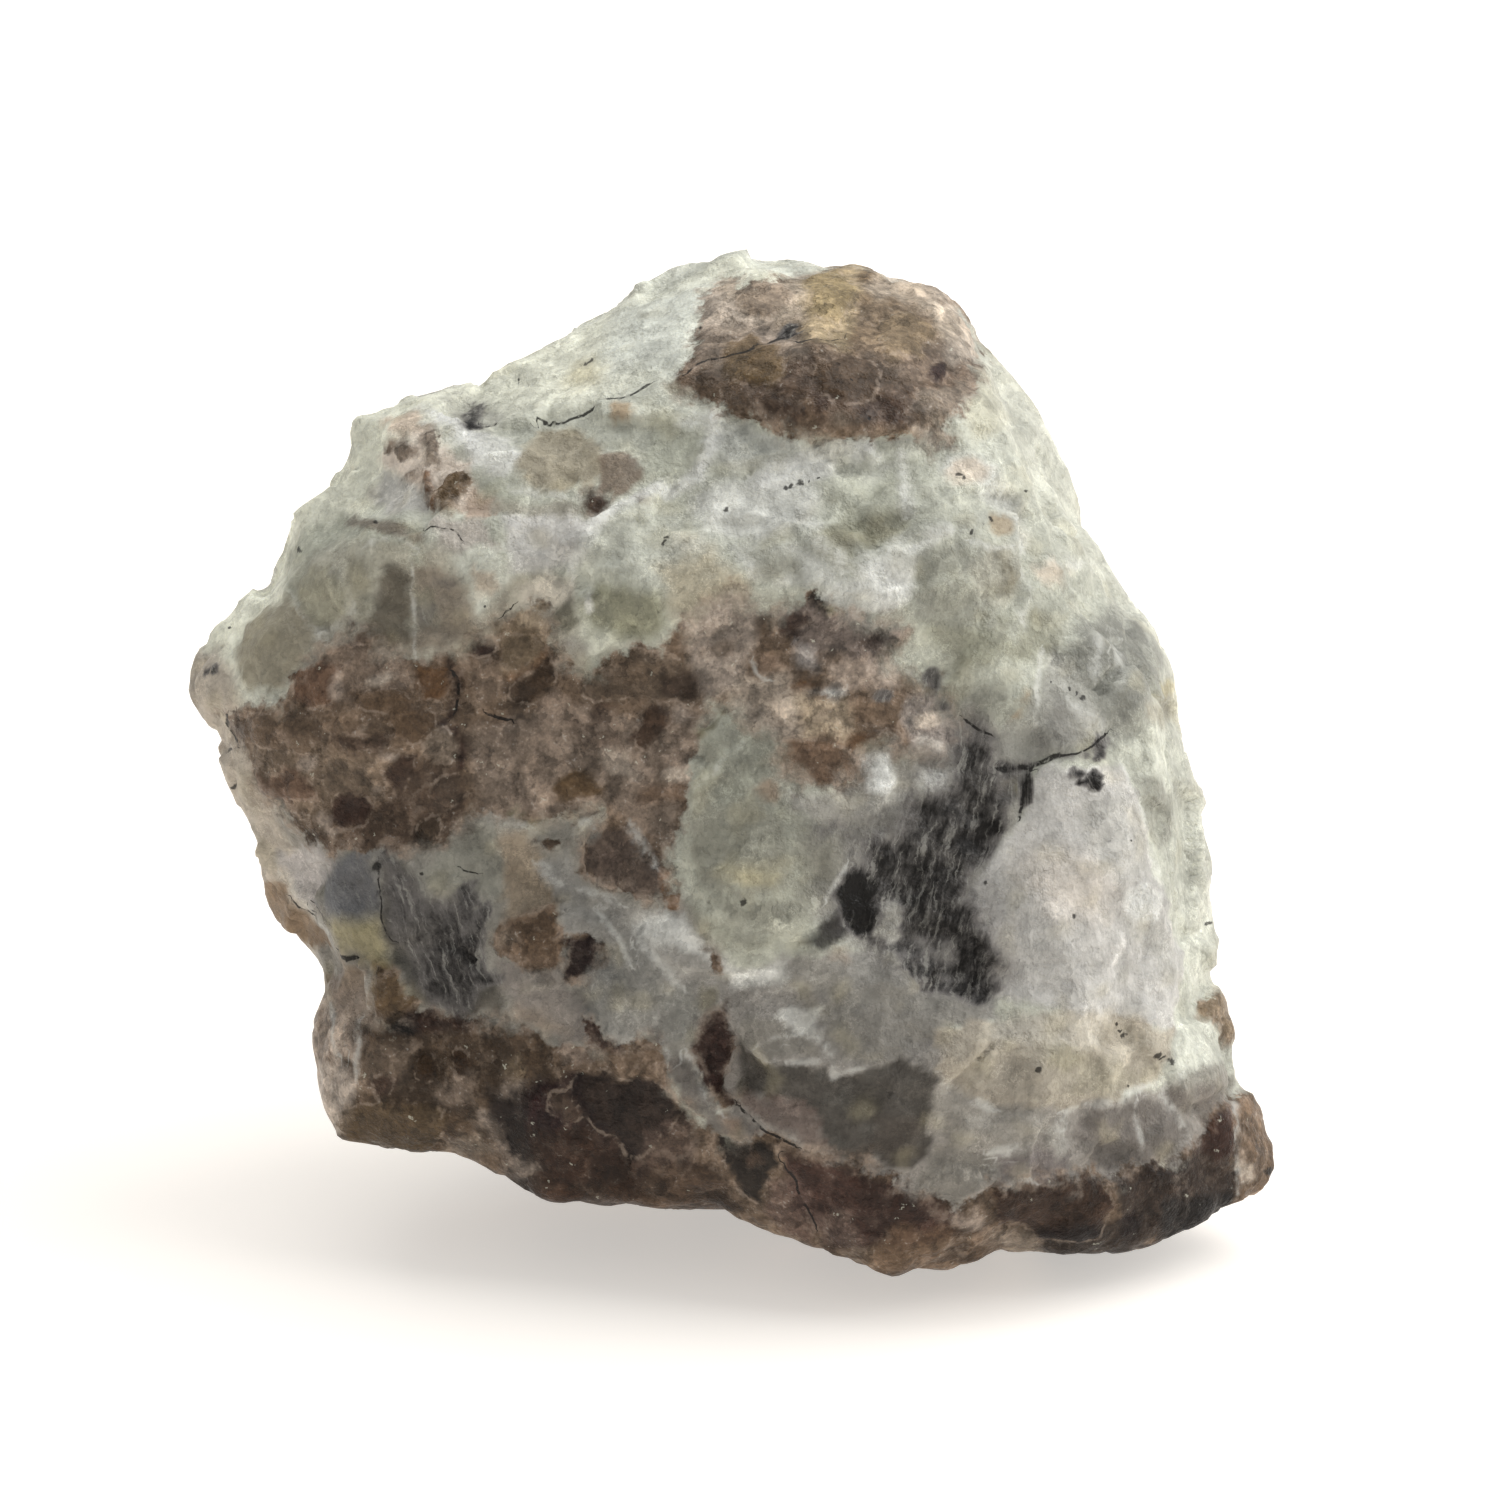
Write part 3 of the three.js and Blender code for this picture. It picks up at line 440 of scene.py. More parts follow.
tract = area((-19.6, 2), (-18.9, 2.2), (-18, 2.4), (-17.2, 2.7), (-16.8, 3.6), (-16, 4.1), (-15.6, 4.7),
    (-14.9, 5), (-14.7, 5.4), (-14.1, 5.4), (-13.6, 5), (-13.3, 4.4), (-12.6, 4.2), (-11.8, 4.1),
    (-11, 4.3), (-10.3, 4.4), (-10, 5), (-9.4, 5.2), (-8.4, 5.9), (-7.9, 6.3), (-7.2, 6.1), (-6.8, 5.5),
    (-6.9, 4.6), (-6, 3.6), (-5.4, 3.6), (-4.4, 4.3), (-3.6, 4.6), (-2.6, 4.6), (-2, 5.4), (-1, 6.4),
    (0.2, 6.9), (1.2, 6), (2.2, 6), (3.1, 6.6), (4, 6.2), (5, 5.8), (6.4, 5.7), (7, 5.2), (6.8, 4.8),
    (6.2, 4), (7, 3.4), (8, 3.3), (8.6, 2), (8.9, 1), (8, 0.2), (6.4, 0.3), (6.2, 0.8), (5.2, 0.5),
    (5, -0.3), (4.4, -0.9), (3.4, -1), (2.4, -0.8), (1.9, 0), (1.7, 0.8), (0.9, 1.3), (0.1, 2), (-0.6, 2.2),
    (-1.3, 1.2), (-1.6, 0), (-1.7, -1.4), (-1.9, -2.4), (-2.4, -3.3), (-2.2, -4.4), (-2, -5.6),
    (-2.8, -5.3), (-4.4, -4.8), (-5.2, -4.6), (-5.8, -4), (-5.7, -3), (-5.2, -2.4), (-4.9, -1.8),
    (-6.4, -2), (-8.2, -2.1), (-9.3, -1.9), (-10, -2), (-11, -3), (-12.4, -3.4), (-13.6, -3.3),
    (-15.4, -3.3), (-16.2, -2.9), (-17, -2), (-17.8, -1.6), (-18.4, -0.8), (-18.7, 0.4), (-19.4, 1))
middle_lumps = joined(area((-8.9, -6.1), (-8.1, -5.7), (-7, -5.6), (-6.4, -6.4), (-6.4, -7.1), (-6.7, -7.7),
    (-7.4, -8), (-8, -7.7), (-8.8, -7.3), (-9, -6.7)), area((-6.4, -6.7), (-5.5, -6.5), (-5.1, -7),
    (-5.1, -7.6), (-5.8, -8.3), (-6.2, -8.1)), area((-7.5, -2.8), (-6.7, -2.7), (-6.5, -3), (-7.3, -3.2)),
    area((-1, -9.8), (-0.3, -9.2), (-0.1, -10), (0.1, -10.9), (-0.2, -11.6), (-0.3, -12.5), (0.3, -13.2),
    (-0.4, -13.2), (-0.9, -12.6), (-1.2, -11.7), (-1.6, -11)), band(0.25, (-1, -7), (-0.6, -7.4),
    (-0.45, -7.9)), area((-5.7, -9.6), (-5.2, -10), (-4.9, -10.6), (-4.2, -10.9), (-4.9, -11.1),
    (-5.5, -10.8)), area((18.3, -9.3), (18.8, -8.6), (19.4, -8.8), (19.6, -10.4), (19.1, -10.8),
    (18.6, -10.2)), area((-13.6, -7.9), (-12.8, -8), (-12.7, -8.8), (-12, -9.1), (-12.3, -9.8),
    (-13, -10.2), (-13.8, -9.8), (-14, -9.2), (-13.7, -8.5)))
foot_band = area((-17.4, -8), (-15.7, -8.8), (-15, -9.4), (-14, -9.6), (-13, -9.8), (-12, -9.4),
    (-10.9, -9.6), (-9.9, -9.6), (-8.5, -9.8), (-7.9, -10.2), (-7.2, -10.5), (-6.2, -10.8), (-5.2, -10.9),
    (-3.8, -10.8), (-3.2, -10.4), (-2.8, -10.8), (-2.5, -11.4), (-2.3, -12), (-1.9, -12.9), (-1.4, -13.4),
    (-0.9, -13.9), (-0.5, -14.4), (0.6, -14.4), (1.1, -13.9), (1.9, -14.3), (2.6, -14.6), (3.4, -14.9),
    (3.9, -15), (5.2, -15.4), (6.2, -16), (7, -16.4), (8, -16.8), (8.8, -17.1), (9.5, -16.6), (10, -16.2),
    (10.7, -16.1), (11.6, -16), (12, -15.7), (12.6, -15.9), (13.1, -15.9), (13.9, -15.3), (14.2, -15.9),
    (14.8, -15.9), (15.3, -15.6), (16, -15.5), (16.9, -15.4), (17.2, -15), (17.9, -14.3), (18.2, -13.9),
    (18.9, -13.3), (19.5, -12.8), (20.3, -12), (23, -14), (22, -20), (5, -23), (-17, -19), (-18, -12))
brown = np.clip(joined(knob, 2 * shoulder, tract, 2 * middle_lumps + 0.1, foot_band), -2, 2)

# Tone of the grains: each tract's own average first, then its grains from the top left down.
lay(smoky, SHELL, area((-1.4, 16.6), (-1, 18.8), (3, 19.6), (3, 17), (1, 16.6)), 0.8, 0.75)
lay(smoky, "#a99779", area((2.7, 16.4), (3, 19.8), (5, 19.4), (4.9, 17.4), (4.4, 16)), 0.7, 0.9)
lay(smoky, "#7b6f62", area((-1.6, 15.4), (-1, 17), (2.6, 17.2), (3, 15.6), (0.6, 14.8)), 0.7, 0.7)
lay(smoky, "#82766b", area((1, 16.6), (2.4, 16.9), (2.7, 16.2), (1.6, 15.9)), 0.4, 0.7)
lay(smoky, "#79695a", area((4.8, 17.6), (8.2, 18.4), (9.2, 16), (7, 14.8), (4.8, 15.4)), 0.7, 0.8)
lay(smoky, SHELL, area((7.6, 17.8), (8.7, 17.8), (9.8, 15.4), (8.4, 15.5), (7.9, 16.6)), 0.5, 0.9)
lay(smoky, SHELL, area((5, 18.2), (6.4, 19.4), (8.6, 18), (7.4, 17.4)), 0.5, 0.7)
lay(smoky, "#a48d74", area((5, 17.8), (7.2, 17.8), (7.2, 17), (5.4, 17.3)), 0.5, 0.5)
lay(smoky, UMBER, area((0.8, 15.6), (3.2, 15.5), (3.4, 14.4), (1.4, 13.4), (0.2, 14.4)), 0.6, 0.7)
lay(smoky, BARK, area((3, 14.2), (3.6, 14.8), (4.5, 14.7), (5.3, 14.3), (6.6, 14.2), (6.8, 13.2),
    (5.4, 13.2), (4.5, 13.8), (3.4, 13.6)), 0.4, 0.75, -0.1)
lay(smoky, UMBER, area((3.2, 12.9), (7, 13), (7.2, 14.4), (6, 14.8), (3, 14.4)), 0.6, 0.6)
lay(smoky, UMBER, spot(2.35, 13.6, 0.5, 0.4), 0.3, 0.9)
lay(smoky, BUFF, spot(4.3, 13.2, 0.6, 0.25), 0.4, 0.7)
lay(smoky, BUFF, area((7.1, 14.3), (8.6, 14.6), (9.4, 15.1), (9.3, 14.4), (8.9, 13.6), (7.6, 13)), 0.4, 0.9)
lay(smoky, SHELL, area((7, 13.2), (8.2, 13.2), (8.6, 12.4), (7.6, 12), (7, 12.6)), 0.4, 0.6)
lay(smoky, BARK, spot(8, 15.1, 0.33, 0.45), 0.2, 0.9, 0.1)
lay(smoky, "#8a7448", area((-0.6, 18.4), (3, 19.6), (7, 19), (9, 16.6), (6.4, 15.6), (2.4, 16.4)), 1.2, 0.2)
lay(smoky, RUST, area((-12, 11.5), (-11.5, 11.5), (-11.4, 10.6), (-11.3, 9.9), (-11.7, 10.1)), 0.2, 0.9)
lay(smoky, BUFF, area((-13.4, 12.8), (-11.2, 13), (-11.2, 11.6), (-13, 11.8)), 0.3, 0.9)
lay(smoky, "#6f5c44", area((-11.2, 11.4), (-9.7, 11.4), (-10.2, 9.4), (-11.6, 9.4)), 0.2, 0.9, 0.1)
lay(smoky, UMBER, spot(-5.25, 10.1, 0.6, 0.6), 0.15, 0.9, 0.12)


def grain(shade, *outline, strength=0.85, lift=0.12):
    shape = area(*outline)
    grains.append(shape)
    lay(smoky, shade, shape, 0.22, strength, lift)


grains = [spot(-5.25, 10.1, 0.52, 0.5), spot(8, 15.1, 0.33, 0.45)]
lay(smoky, "#756656", area((-19, 0.8), (-16.4, 1), (-14.6, 0.4), (-13.4, 0.6), (-13.2, -1), (-15.4, -1.4),
    (-16, -3.4), (-18.6, -1.4)), 0.6, 0.75)
lay(smoky, "#4b3d32", area((-18.4, -1.6), (-16.4, -1.6), (-15.4, -3), (-16.4, -3.4), (-18, -2.4)), 0.6, 0.6)
lay(smoky, ROSE, area((-16.8, 3.8), (-14.8, 5), (-12.4, 4.2), (-12.2, 3), (-15, 2.2)), 0.5, 0.6)
grain(SMOKE, (-18.9, 1.5), (-18.4, 2), (-17.3, 2), (-16.6, 1.6), (-16.1, 1.1), (-16, 0.6), (-16.6, 0.4),
    (-17.4, 0.6), (-18.2, 0.8), (-18.8, 1))
lay(smoky, ROSE, band(0.2, (-18.2, 1.6), (-17.6, 1.4), (-17, 0.9)), 0.25, 0.6)
grain("#6b5343", (-16.8, 3.4), (-16, 4), (-15.2, 3.9), (-15, 3.2), (-15.3, 2.3), (-16.2, 2.1), (-16.8, 2.6))
grain(UMBER, (-14.8, 5.2), (-14.2, 5.4), (-13.8, 5.1), (-14.1, 4.7), (-14.7, 4.8))
grain("#5f4e3e", (-14.6, 2.9), (-13.5, 3), (-12.8, 2.9), (-12.2, 2.3), (-11.4, 1.9), (-11.5, 1.1),
    (-12.3, 0.7), (-13, 1.2), (-13.3, 1.9), (-14.2, 2.2))
grain(UMBER, (-15.3, 1.2), (-14.2, 1.2), (-13.2, 1.1), (-13.5, 0.7), (-14.4, 0.6), (-15, 0.8))
grain("#6b5648", (-18.5, -0.1), (-17.6, -0.3), (-16.7, -0.3), (-16.1, -0.9), (-16, -1.4), (-17.2, -1.4),
    (-18.2, -1))
grain("#634a34", (-12.2, 3.8), (-11.5, 4), (-10.8, 3.9), (-10.7, 3.1), (-11.2, 2.4), (-11.8, 2.6))
grain("#31261e", (-9.9, 4.9), (-9.2, 5), (-9, 4.4), (-9.8, 4.1), (-10.3, 4.4))
lay(smoky, "#746552", area((-9.4, 5.2), (-8.4, 5.8), (-7.9, 6.3), (-7.2, 6.1), (-6.8, 5.5), (-6.9, 4.8),
    (-7.2, 4.2), (-8, 3.7), (-8.6, 3.4), (-9, 4.4)), 0.3, 0.9, 0.15)
lay(smoky, SAND, area((-8.6, 6), (-7.8, 6.4), (-7, 6.2), (-6.9, 5.4), (-8, 5.4)), 0.4, 0.7)
lay(smoky, RUST, band(0.16, (-6.9, 4.7), (-7.5, 3.9), (-8.5, 3.4)), 0.2, 0.7)
grain("#3d332b", (-8.7, 2.5), (-8.5, 3), (-7.9, 3.5), (-7, 4.1), (-6.7, 3.5), (-6.9, 2.9), (-7.5, 2.4),
    (-8.3, 2.2), lift=-0.1)
grain("#7b6e60", (-11.9, 0.8), (-11.3, 1.3), (-10.9, 1.3), (-10.5, 0.7), (-10.7, 0.2), (-11.4, 0.1),
    (-11.8, 0.4))
grain("#3e322d", (-13.5, -0.3), (-12.9, 0.4), (-12.2, 0.4), (-12.3, -0.4), (-12.7, -1.2), (-13.2, -0.8),
    lift=-0.08)
grain("#3b2e2b", (-15.5, -1.4), (-15.1, -1), (-14.4, -1.1), (-13.7, -1.6), (-14, -2.3), (-14.9, -2.6),
    (-15.3, -2.1), lift=-0.08)
lay(smoky, UMBER, area((-12.4, 0.2), (-10.4, 0.2), (-10, -1.6), (-11, -3.2), (-13, -3.2), (-15.4, -3.2),
    (-13, -1)), 0.6, 0.7)
grain("#453c33", (-12.1, -2.3), (-11.4, -1.8), (-11.1, -2.4), (-11.4, -3.1), (-12, -3.1))
grain("#4c423a", (-11.2, -0.3), (-10.4, -0.2), (-10.2, -1.2), (-11, -1.8), (-11.6, -1.2))
lay(smoky, UMBER, band(0.35, (-10.8, 4), (-10.6, 3.2), (-10.6, 2.4), (-10.8, 1.8)), 0.3, 0.9)
lay(smoky, BARK, band(0.3, (-10.8, 1.8), (-11.2, 1.5), (-10.6, 1.3), (-10.3, 0.8), (-10.3, 0)), 0.25, 0.8)
lay(smoky, BLUSH, spot(-16.2, 0.1, 0.4, 0.3), 0.3, 0.8)
lay(smoky, BLUSH, spot(-13.6, -0.8, 0.35, 0.25), 0.25, 0.8)
lay(smoky, BLUSH, spot(-13.3, 0.35, 0.3, 0.2), 0.2, 0.8)
lay(smoky, BLUSH, band(0.2, (-15.8, -2), (-15.5, -2.4), (-15.2, -2.7)), 0.2, 0.8)
lay(smoky, SHELL, spot(-13.5, 3.3, 0.35, 0.15, 20), 0.2, 0.8)
lay(smoky, BLUSH, spot(-15.1, 2.9, 0.3, 0.4), 0.3, 0.7)
lay(smoky, SHELL, spot(-14.2, 1.5, 0.14), 0.15, 0.8)
lay(smoky, "#6b5e52", area((-10.2, 4), (-8.8, 4), (-8.8, 2.8), (-10, 2)), 0.6, 0.6)

# the middle of the broad tract
lay(smoky, "#7d7064", area((-10.2, 1.4), (-7, 2.2), (-5.8, 2.4), (-4, 1.8), (-2, 2.8), (-1, 1.8),
    (-1.6, -1), (-2.4, -3), (-4.6, -1.8), (-9.6, -1.9)), 0.8, 0.65)
grain("#5d5145", (-6, 2.9), (-5.4, 3.5), (-4.4, 4.2), (-3.6, 4.5), (-3.1, 4.4), (-2.4, 4.3), (-1.8, 4),
    (-1.2, 4.1), (-0.9, 3.6), (-0.8, 3), (-1.2, 2.6), (-1.6, 2.2), (-2.2, 2.6), (-3, 2.5), (-4, 2.6),
    (-5.2, 2.4), lift=0.05)
lay(smoky, "#352b23", area((-2.8, 3.6), (-1.2, 3.6), (-0.9, 3), (-1.6, 2.4), (-2.6, 2.8)), 0.3, 0.6)
lay(smoky, SMOKE, area((-4.6, 3.9), (-3.4, 4), (-3, 3.4), (-4.6, 3)), 0.4, 0.5)
lay(smoky, "#3c302a", area((-5.3, 2.5), (-4.6, 2.5), (-4.5, 1.8), (-5.2, 1.8)), 0.4, 0.6)
grain("#43352c", (-3.4, 2.2), (-2.4, 2.4), (-2.3, 1.8), (-2.8, 0.8), (-3.2, 0.4), (-3.6, 1))
lay(smoky, UMBER, area((-6.2, 1.8), (-4.6, 1.8), (-4, 0.8), (-5.6, 0.6)), 0.5, 0.4)
grain("#54432f", (-7, -0.9), (-6.5, -0.4), (-5.6, -0.3), (-4.8, -0.8), (-4.9, -1.1), (-5.6, -1.5),
    (-6.4, -1.4))
lay(smoky, ROSE, area((-8.6, -0.6), (-6.8, -0.8), (-6.6, -1.7), (-8.2, -1.8)), 0.5, 0.7)
lay(smoky, OLIVE, band(0.3, (-8.4, -1.8), (-7.6, -2.2), (-6.4, -2.1)), 0.3, 0.8)
lay(smoky, ROSE, area((-7.6, 2.6), (-6.6, 3), (-6.2, 2.4), (-6.6, 1.8), (-7.4, 1.7)), 0.4, 0.7)
lay(smoky, BLUSH, spot(-2, 2.1, 0.3, 0.35), 0.3, 0.9)
lay(smoky, SHELL, band(0.16, (-4.1, 1.7), (-3.7, 2), (-3.3, 1.9)), 0.2, 0.9)
lay(smoky, SHELL, area((-4.9, 0.5), (-3.9, 0.5), (-3.6, -0.6), (-4.6, -0.4)), 0.4, 0.6)
lay(smoky, SHELL, area((-2.6, -0.2), (-1.6, 0), (-1.5, -0.5), (-2.5, -0.8)), 0.3, 0.8)
lay(smoky, "#644c38", area((-3.6, -0.9), (-1.8, -0.8), (-1.7, -1.6), (-3.4, -1.5)), 0.5, 0.5)
lay(smoky, "#9c9084", area((-1.8, 6), (0, 6.8), (1.2, 6), (1, 4.6), (0.4, 3.2), (-0.8, 2.6), (-1.8, 4.6)),
    0.7, 0.8)
lay(smoky, SMOKE, spot(-1.6, 4.8, 0.35, 0.3), 0.3, 0.7)
lay(smoky, SMOKE, spot(-0.3, 4.4, 0.6, 0.25), 0.4, 0.6)
lay(smoky, SHELL, area((0.2, 3.4), (2.4, 3.6), (2.8, 1.2), (1.2, 1.1), (0.2, 2)), 0.6, 0.7)
lay(smoky, SAND, area((2.6, 2.6), (4.4, 2.6), (4.8, 1.2), (2.8, 1.1)), 0.5, 0.8)
grain("#7d6a5a", (1, 4.5), (1.8, 4.3), (1.9, 3.8), (1.4, 3.6), (1, 3.9))
lay(smoky, "#726862", area((1.4, 5.8), (3, 6.4), (4.2, 5.9), (6.6, 5.7), (6.9, 4.9), (5.6, 4.2), (3, 4.2)),
    0.5, 0.8)
grain("#3d322d", (1.6, 5.6), (2.2, 5.9), (2.9, 5.9), (3, 5.5), (2.5, 5), (2, 5.1))
lay(smoky, "#40352f", spot(5.4, 4.8, 0.6, 0.3), 0.4, 0.8)
lay(smoky, SOOT, spot(3.2, 6.4, 0.25, 0.2), 0.2, 0.8)
lay(smoky, SOOT, spot(3.6, 6.1, 0.2), 0.2, 0.9)
lay(smoky, OLIVE, spot(4.05, 6, 0.16), 0.2, 0.9)
lay(smoky, LAVENDER, area((2.4, 4.7), (3.3, 4.6), (3.3, 3.6), (2.5, 3.7)), 0.4, 0.7)
lay(smoky, SOOT, band(0.16, (3.3, 4.1), (3.5, 3.2)), 0.2, 0.7)
lay(smoky, SOOT, spot(3.8, 4.5, 0.16), 0.2, 0.7)
lay(smoky, RUST, spot(2.8, 3, 0.35, 0.16), 0.2, 0.8)
lay(smoky, BLUSH, area((3.6, 4), (6.2, 4.2), (6.4, 3), (4.2, 2.9)), 0.5, 0.8)
lay(smoky, CHALK, spot(3.7, 2.85, 0.5, 0.18), 0.25, 0.8)
grain("#6e5a4a", (1.9, 0.9), (2.6, 1.1), (3.4, 1), (4.4, 0.7), (4.9, 0.3), (5, -0.2), (4.6, -0.6),
    (4, -0.8), (3.4, -0.9), (2.7, -0.6), (2.1, -0.3), (2.1, 0.3))
lay(smoky, RUST, spot(5, 1.1, 0.35, 0.25), 0.2, 0.7)
grain("#55483e", (5.6, 1.3), (6.2, 1.5), (6.6, 1), (6.5, 0.5), (6, 0.8))
lay(smoky, "#837b74", area((6.6, 2.6), (7.6, 3), (8.4, 2.6), (8.8, 1.4), (8.6, 0.4), (7.2, 0.2), (6.7, 1)),
    0.5, 0.9)
lay(smoky, "#a49d93", spot(7.6, 0.7, 0.5, 0.4), 0.3, 0.8, 0.1)
lay(smoky, SHELL, spot(7.6, 1.7, 0.45, 0.3), 0.3, 0.8, 0.1)
lay(smoky, UMBER, spot(7.5, 0.25, 0.4, 0.1), 0.2, 0.8)
lay(smoky, OLIVE, area((6.9, 3.3), (7.5, 3.8), (8, 3.5), (8.1, 3), (7.4, 2.9)), 0.3, 0.8)
grain("#514741", (-5.3, -2.5), (-4.6, -2.3), (-4, -2.5), (-3.6, -3), (-3.4, -3.6), (-2.9, -3.9),
    (-2.4, -4.4), (-2.5, -5), (-2.8, -5.3), (-3.4, -5.2), (-4.4, -4.8), (-5.2, -4.5), (-5.7, -4),
    (-5.7, -3.3), lift=0.2)
lay(smoky, "#5d4f48", spot(-4.4, -3.6, 0.4, 0.3), 0.3, 0.7)
lay(smoky, RUST, area((-2.6, -4.2), (-2, -4.4), (-1.9, -5.6), (-2.6, -5.3)), 0.3, 0.6)

# the lumps under it, and the foot
lay(smoky, "#786452", area((-9, -5.6), (-6.2, -5.4), (-6.4, -8.1), (-9, -7.4)), 0.2, 0.95, 0.2)
lay(smoky, "#6a5643", area((-8.1, -6), (-7, -5.8), (-6.5, -6.6), (-6.8, -7.4), (-7.9, -7.2)), 0.5, 0.6)
lay(smoky, BUFF, spot(-8.6, -6.6, 0.35, 0.5), 0.4, 0.6)
lay(smoky, "#2e2622", area((-6.4, -6.6), (-5, -6.5), (-5, -7.6), (-5.8, -8.4), (-6.5, -8)), 0.2, 0.95)
lay(smoky, "#332823", area((-1.8, -9), (0.2, -9), (0.4, -13.4), (-1.8, -12)), 0.2, 0.9)
lay(smoky, BARK, area((-5.8, -9.4), (-4.2, -10.4), (-4, -11.1), (-5.6, -11)), 0.2, 0.8)
lay(smoky, "#33230f", area((-14, -9.4), (-12.4, -9.3), (-11, -9.8), (-12, -10.6), (-13.6, -10.4)), 0.6, 0.6)
lay(smoky, "#62513d", area((-13.9, -7.8), (-12.6, -7.8), (-11.9, -9.2), (-13, -10.2), (-14.2, -9.2)), 0.3,
    0.9)
lay(smoky, "#80705b", area((18, -8.4), (19.8, -8.4), (19.8, -11), (18, -10.4)), 0.3, 0.9)
lay(smoky, "#4a3e33", area((-15.4, -9.6), (-9, -9.6), (-6.4, -10.6), (-7, -13.8), (-11, -15.2),
    (-15.6, -14.8)), 0.8, 0.8)
lay(smoky, "#7a6c5e", area((-15.2, -10.4), (-12.6, -10.8), (-12.6, -12.6), (-15.2, -12.6)), 0.8, 0.35)
lay(smoky, "#1d120b", spot(-12.6, -10.05, 0.6, 0.36, -25), 0.3, 0.9)
lay(smoky, "#352a1d", area((-12.6, -9.3), (-10, -9.4), (-9.6, -10.2), (-12.2, -10.4)), 0.4, 0.8)
lay(smoky, "#b0a294", area((-15.9, -11.4), (-15, -11.4), (-14.4, -11.8), (-14.5, -13.2), (-15, -14.4),
    (-16, -13.2)), 0.4, 0.9)
lay(smoky, BLUSH, area((-16, -8.6), (-14.4, -8.6), (-14.2, -11.2), (-16.2, -11.2)), 0.4, 0.7)
grain("#594b3a", (-14.9, -13.2), (-13.6, -12.9), (-12, -13), (-11, -13.2), (-11, -14.2), (-12, -14.8),
    (-14.4, -14.7), (-15, -14.2), lift=0.2)
grain("#483a33", (-13.9, -12.1), (-13.5, -11.9), (-13, -12.2), (-13.1, -12.7), (-13.7, -12.8))
grain("#3e3228", (-12, -11), (-11.4, -11.2), (-11.2, -11.9), (-11.8, -12.3), (-12.2, -12))
grain("#3c3027", (-10.7, -11), (-10, -11), (-10.1, -12), (-10.6, -12.2))
lay(smoky, "#776753", spot(-8.4, -11.8, 0.45, 0.4), 0.2, 0.8)
lay(smoky, "#66594d", area((-13.6, -10.6), (-12.2, -10.8), (-12.6, -12), (-13.8, -11.4)), 0.4, 0.6)
lay(smoky, ROSE, area((-11.4, -12.2), (-9.9, -12.2), (-10, -13), (-11.4, -13)), 0.4, 0.6)
lay(smoky, BLUSH, area((-9, -12.2), (-8, -12.2), (-8.2, -12.9), (-9, -12.8)), 0.3, 0.5)
lay(smoky, BUFF, area((-11.2, -14.6), (-9.6, -14), (-9.2, -14.8), (-10.6, -15)), 0.4, 0.5)
lay(smoky, "#776a60", area((-6.6, -10.6), (-5.8, -10.8), (-5.2, -11.2), (-5.4, -11.7), (-6.4, -11.4)), 0.3,
    0.7)
lay(smoky, "#2b211b", area((-9.4, -12.6), (-7.4, -12.2), (-6.4, -12), (-5.6, -17), (-8, -16.6),
    (-9, -14.6)), 0.7, 0.85)
lay(smoky, "#33261f", area((-7.6, -12.4), (-6, -11.7), (-5.2, -13.5), (-4, -15), (-3, -15.4), (-3.8, -16.4),
    (-6.8, -16), (-7.9, -14)), 0.5, 0.85)
grain("#2c1b14", (-6, -11.9), (-5, -11.7), (-4.2, -12.2), (-3.2, -12.2), (-2.2, -12.5), (-1.8, -13.5),
    (-2.6, -14.3), (-3.2, -14.9), (-4, -15.2), (-4.4, -14.5), (-5.1, -14.2), (-5.6, -13.5), (-6.2, -12.7),
    lift=-0.12)
lay(smoky, "#42342c", area((-7.7, -13.9), (-5.4, -14.2), (-3.6, -15.4), (-3.4, -16.8), (-7.4, -16.8)), 0.5,
    0.8)
grain("#4b4038", (-7, -12.4), (-6.3, -12.6), (-5.7, -13.6), (-6.4, -13.9), (-7, -13.3))
lay(smoky, BLUSH, band(0.35, (-9.6, -13.4), (-8.9, -14.6), (-8.1, -15.6)), 0.4, 0.45)
lay(smoky, BLUSH, spot(-7.6, -15.5, 0.4, 0.2), 0.3, 0.6)
lay(smoky, "#53463f", area((-3.6, -14.2), (-1.6, -13.6), (-1.2, -15.4), (-3.4, -15.4)), 0.4, 0.8)
lay(smoky, "#42352d", area((-5, -15.4), (-0.6, -15.2), (0.4, -17.2), (-5, -17.2)), 0.5, 0.7)
lay(smoky, "#57483c", area((-2.2, -15.9), (-0.8, -15.6), (0, -17), (-1.8, -16.6)), 0.5, 0.5)
grain("#100c09", (-0.5, -14.3), (0.3, -14.5), (1.2, -14.5), (1.9, -14.5), (1.8, -15.3), (1.5, -15.8),
    (1.4, -16.6), (1.1, -17), (0.6, -16.7), (0.2, -16.2), (-0.1, -15.4), lift=-0.08)
lay(smoky, "#52443a", spot(1, -15.2, 0.25, 0.2), 0.2, 0.7)
lay(smoky, "#382820", area((2, -14.8), (4, -15.2), (6.4, -16.2), (9, -17.2), (9.6, -18), (4, -18.6),
    (2.4, -17)), 0.6, 0.8)
lay(smoky, "#63514a", area((1.6, -16), (2.4, -15.6), (3.6, -17.6), (3.2, -18.4), (1.4, -17.6)), 0.4, 0.7)
lay(smoky, "#6a5950", area((3.3, -17.3), (4.6, -17.2), (4.9, -18.2), (3.6, -18.4)), 0.4, 0.7)
lay(smoky, "#63503f", area((6, -17.8), (9.6, -17.6), (9.8, -19.6), (5, -19.8)), 0.6, 0.6)
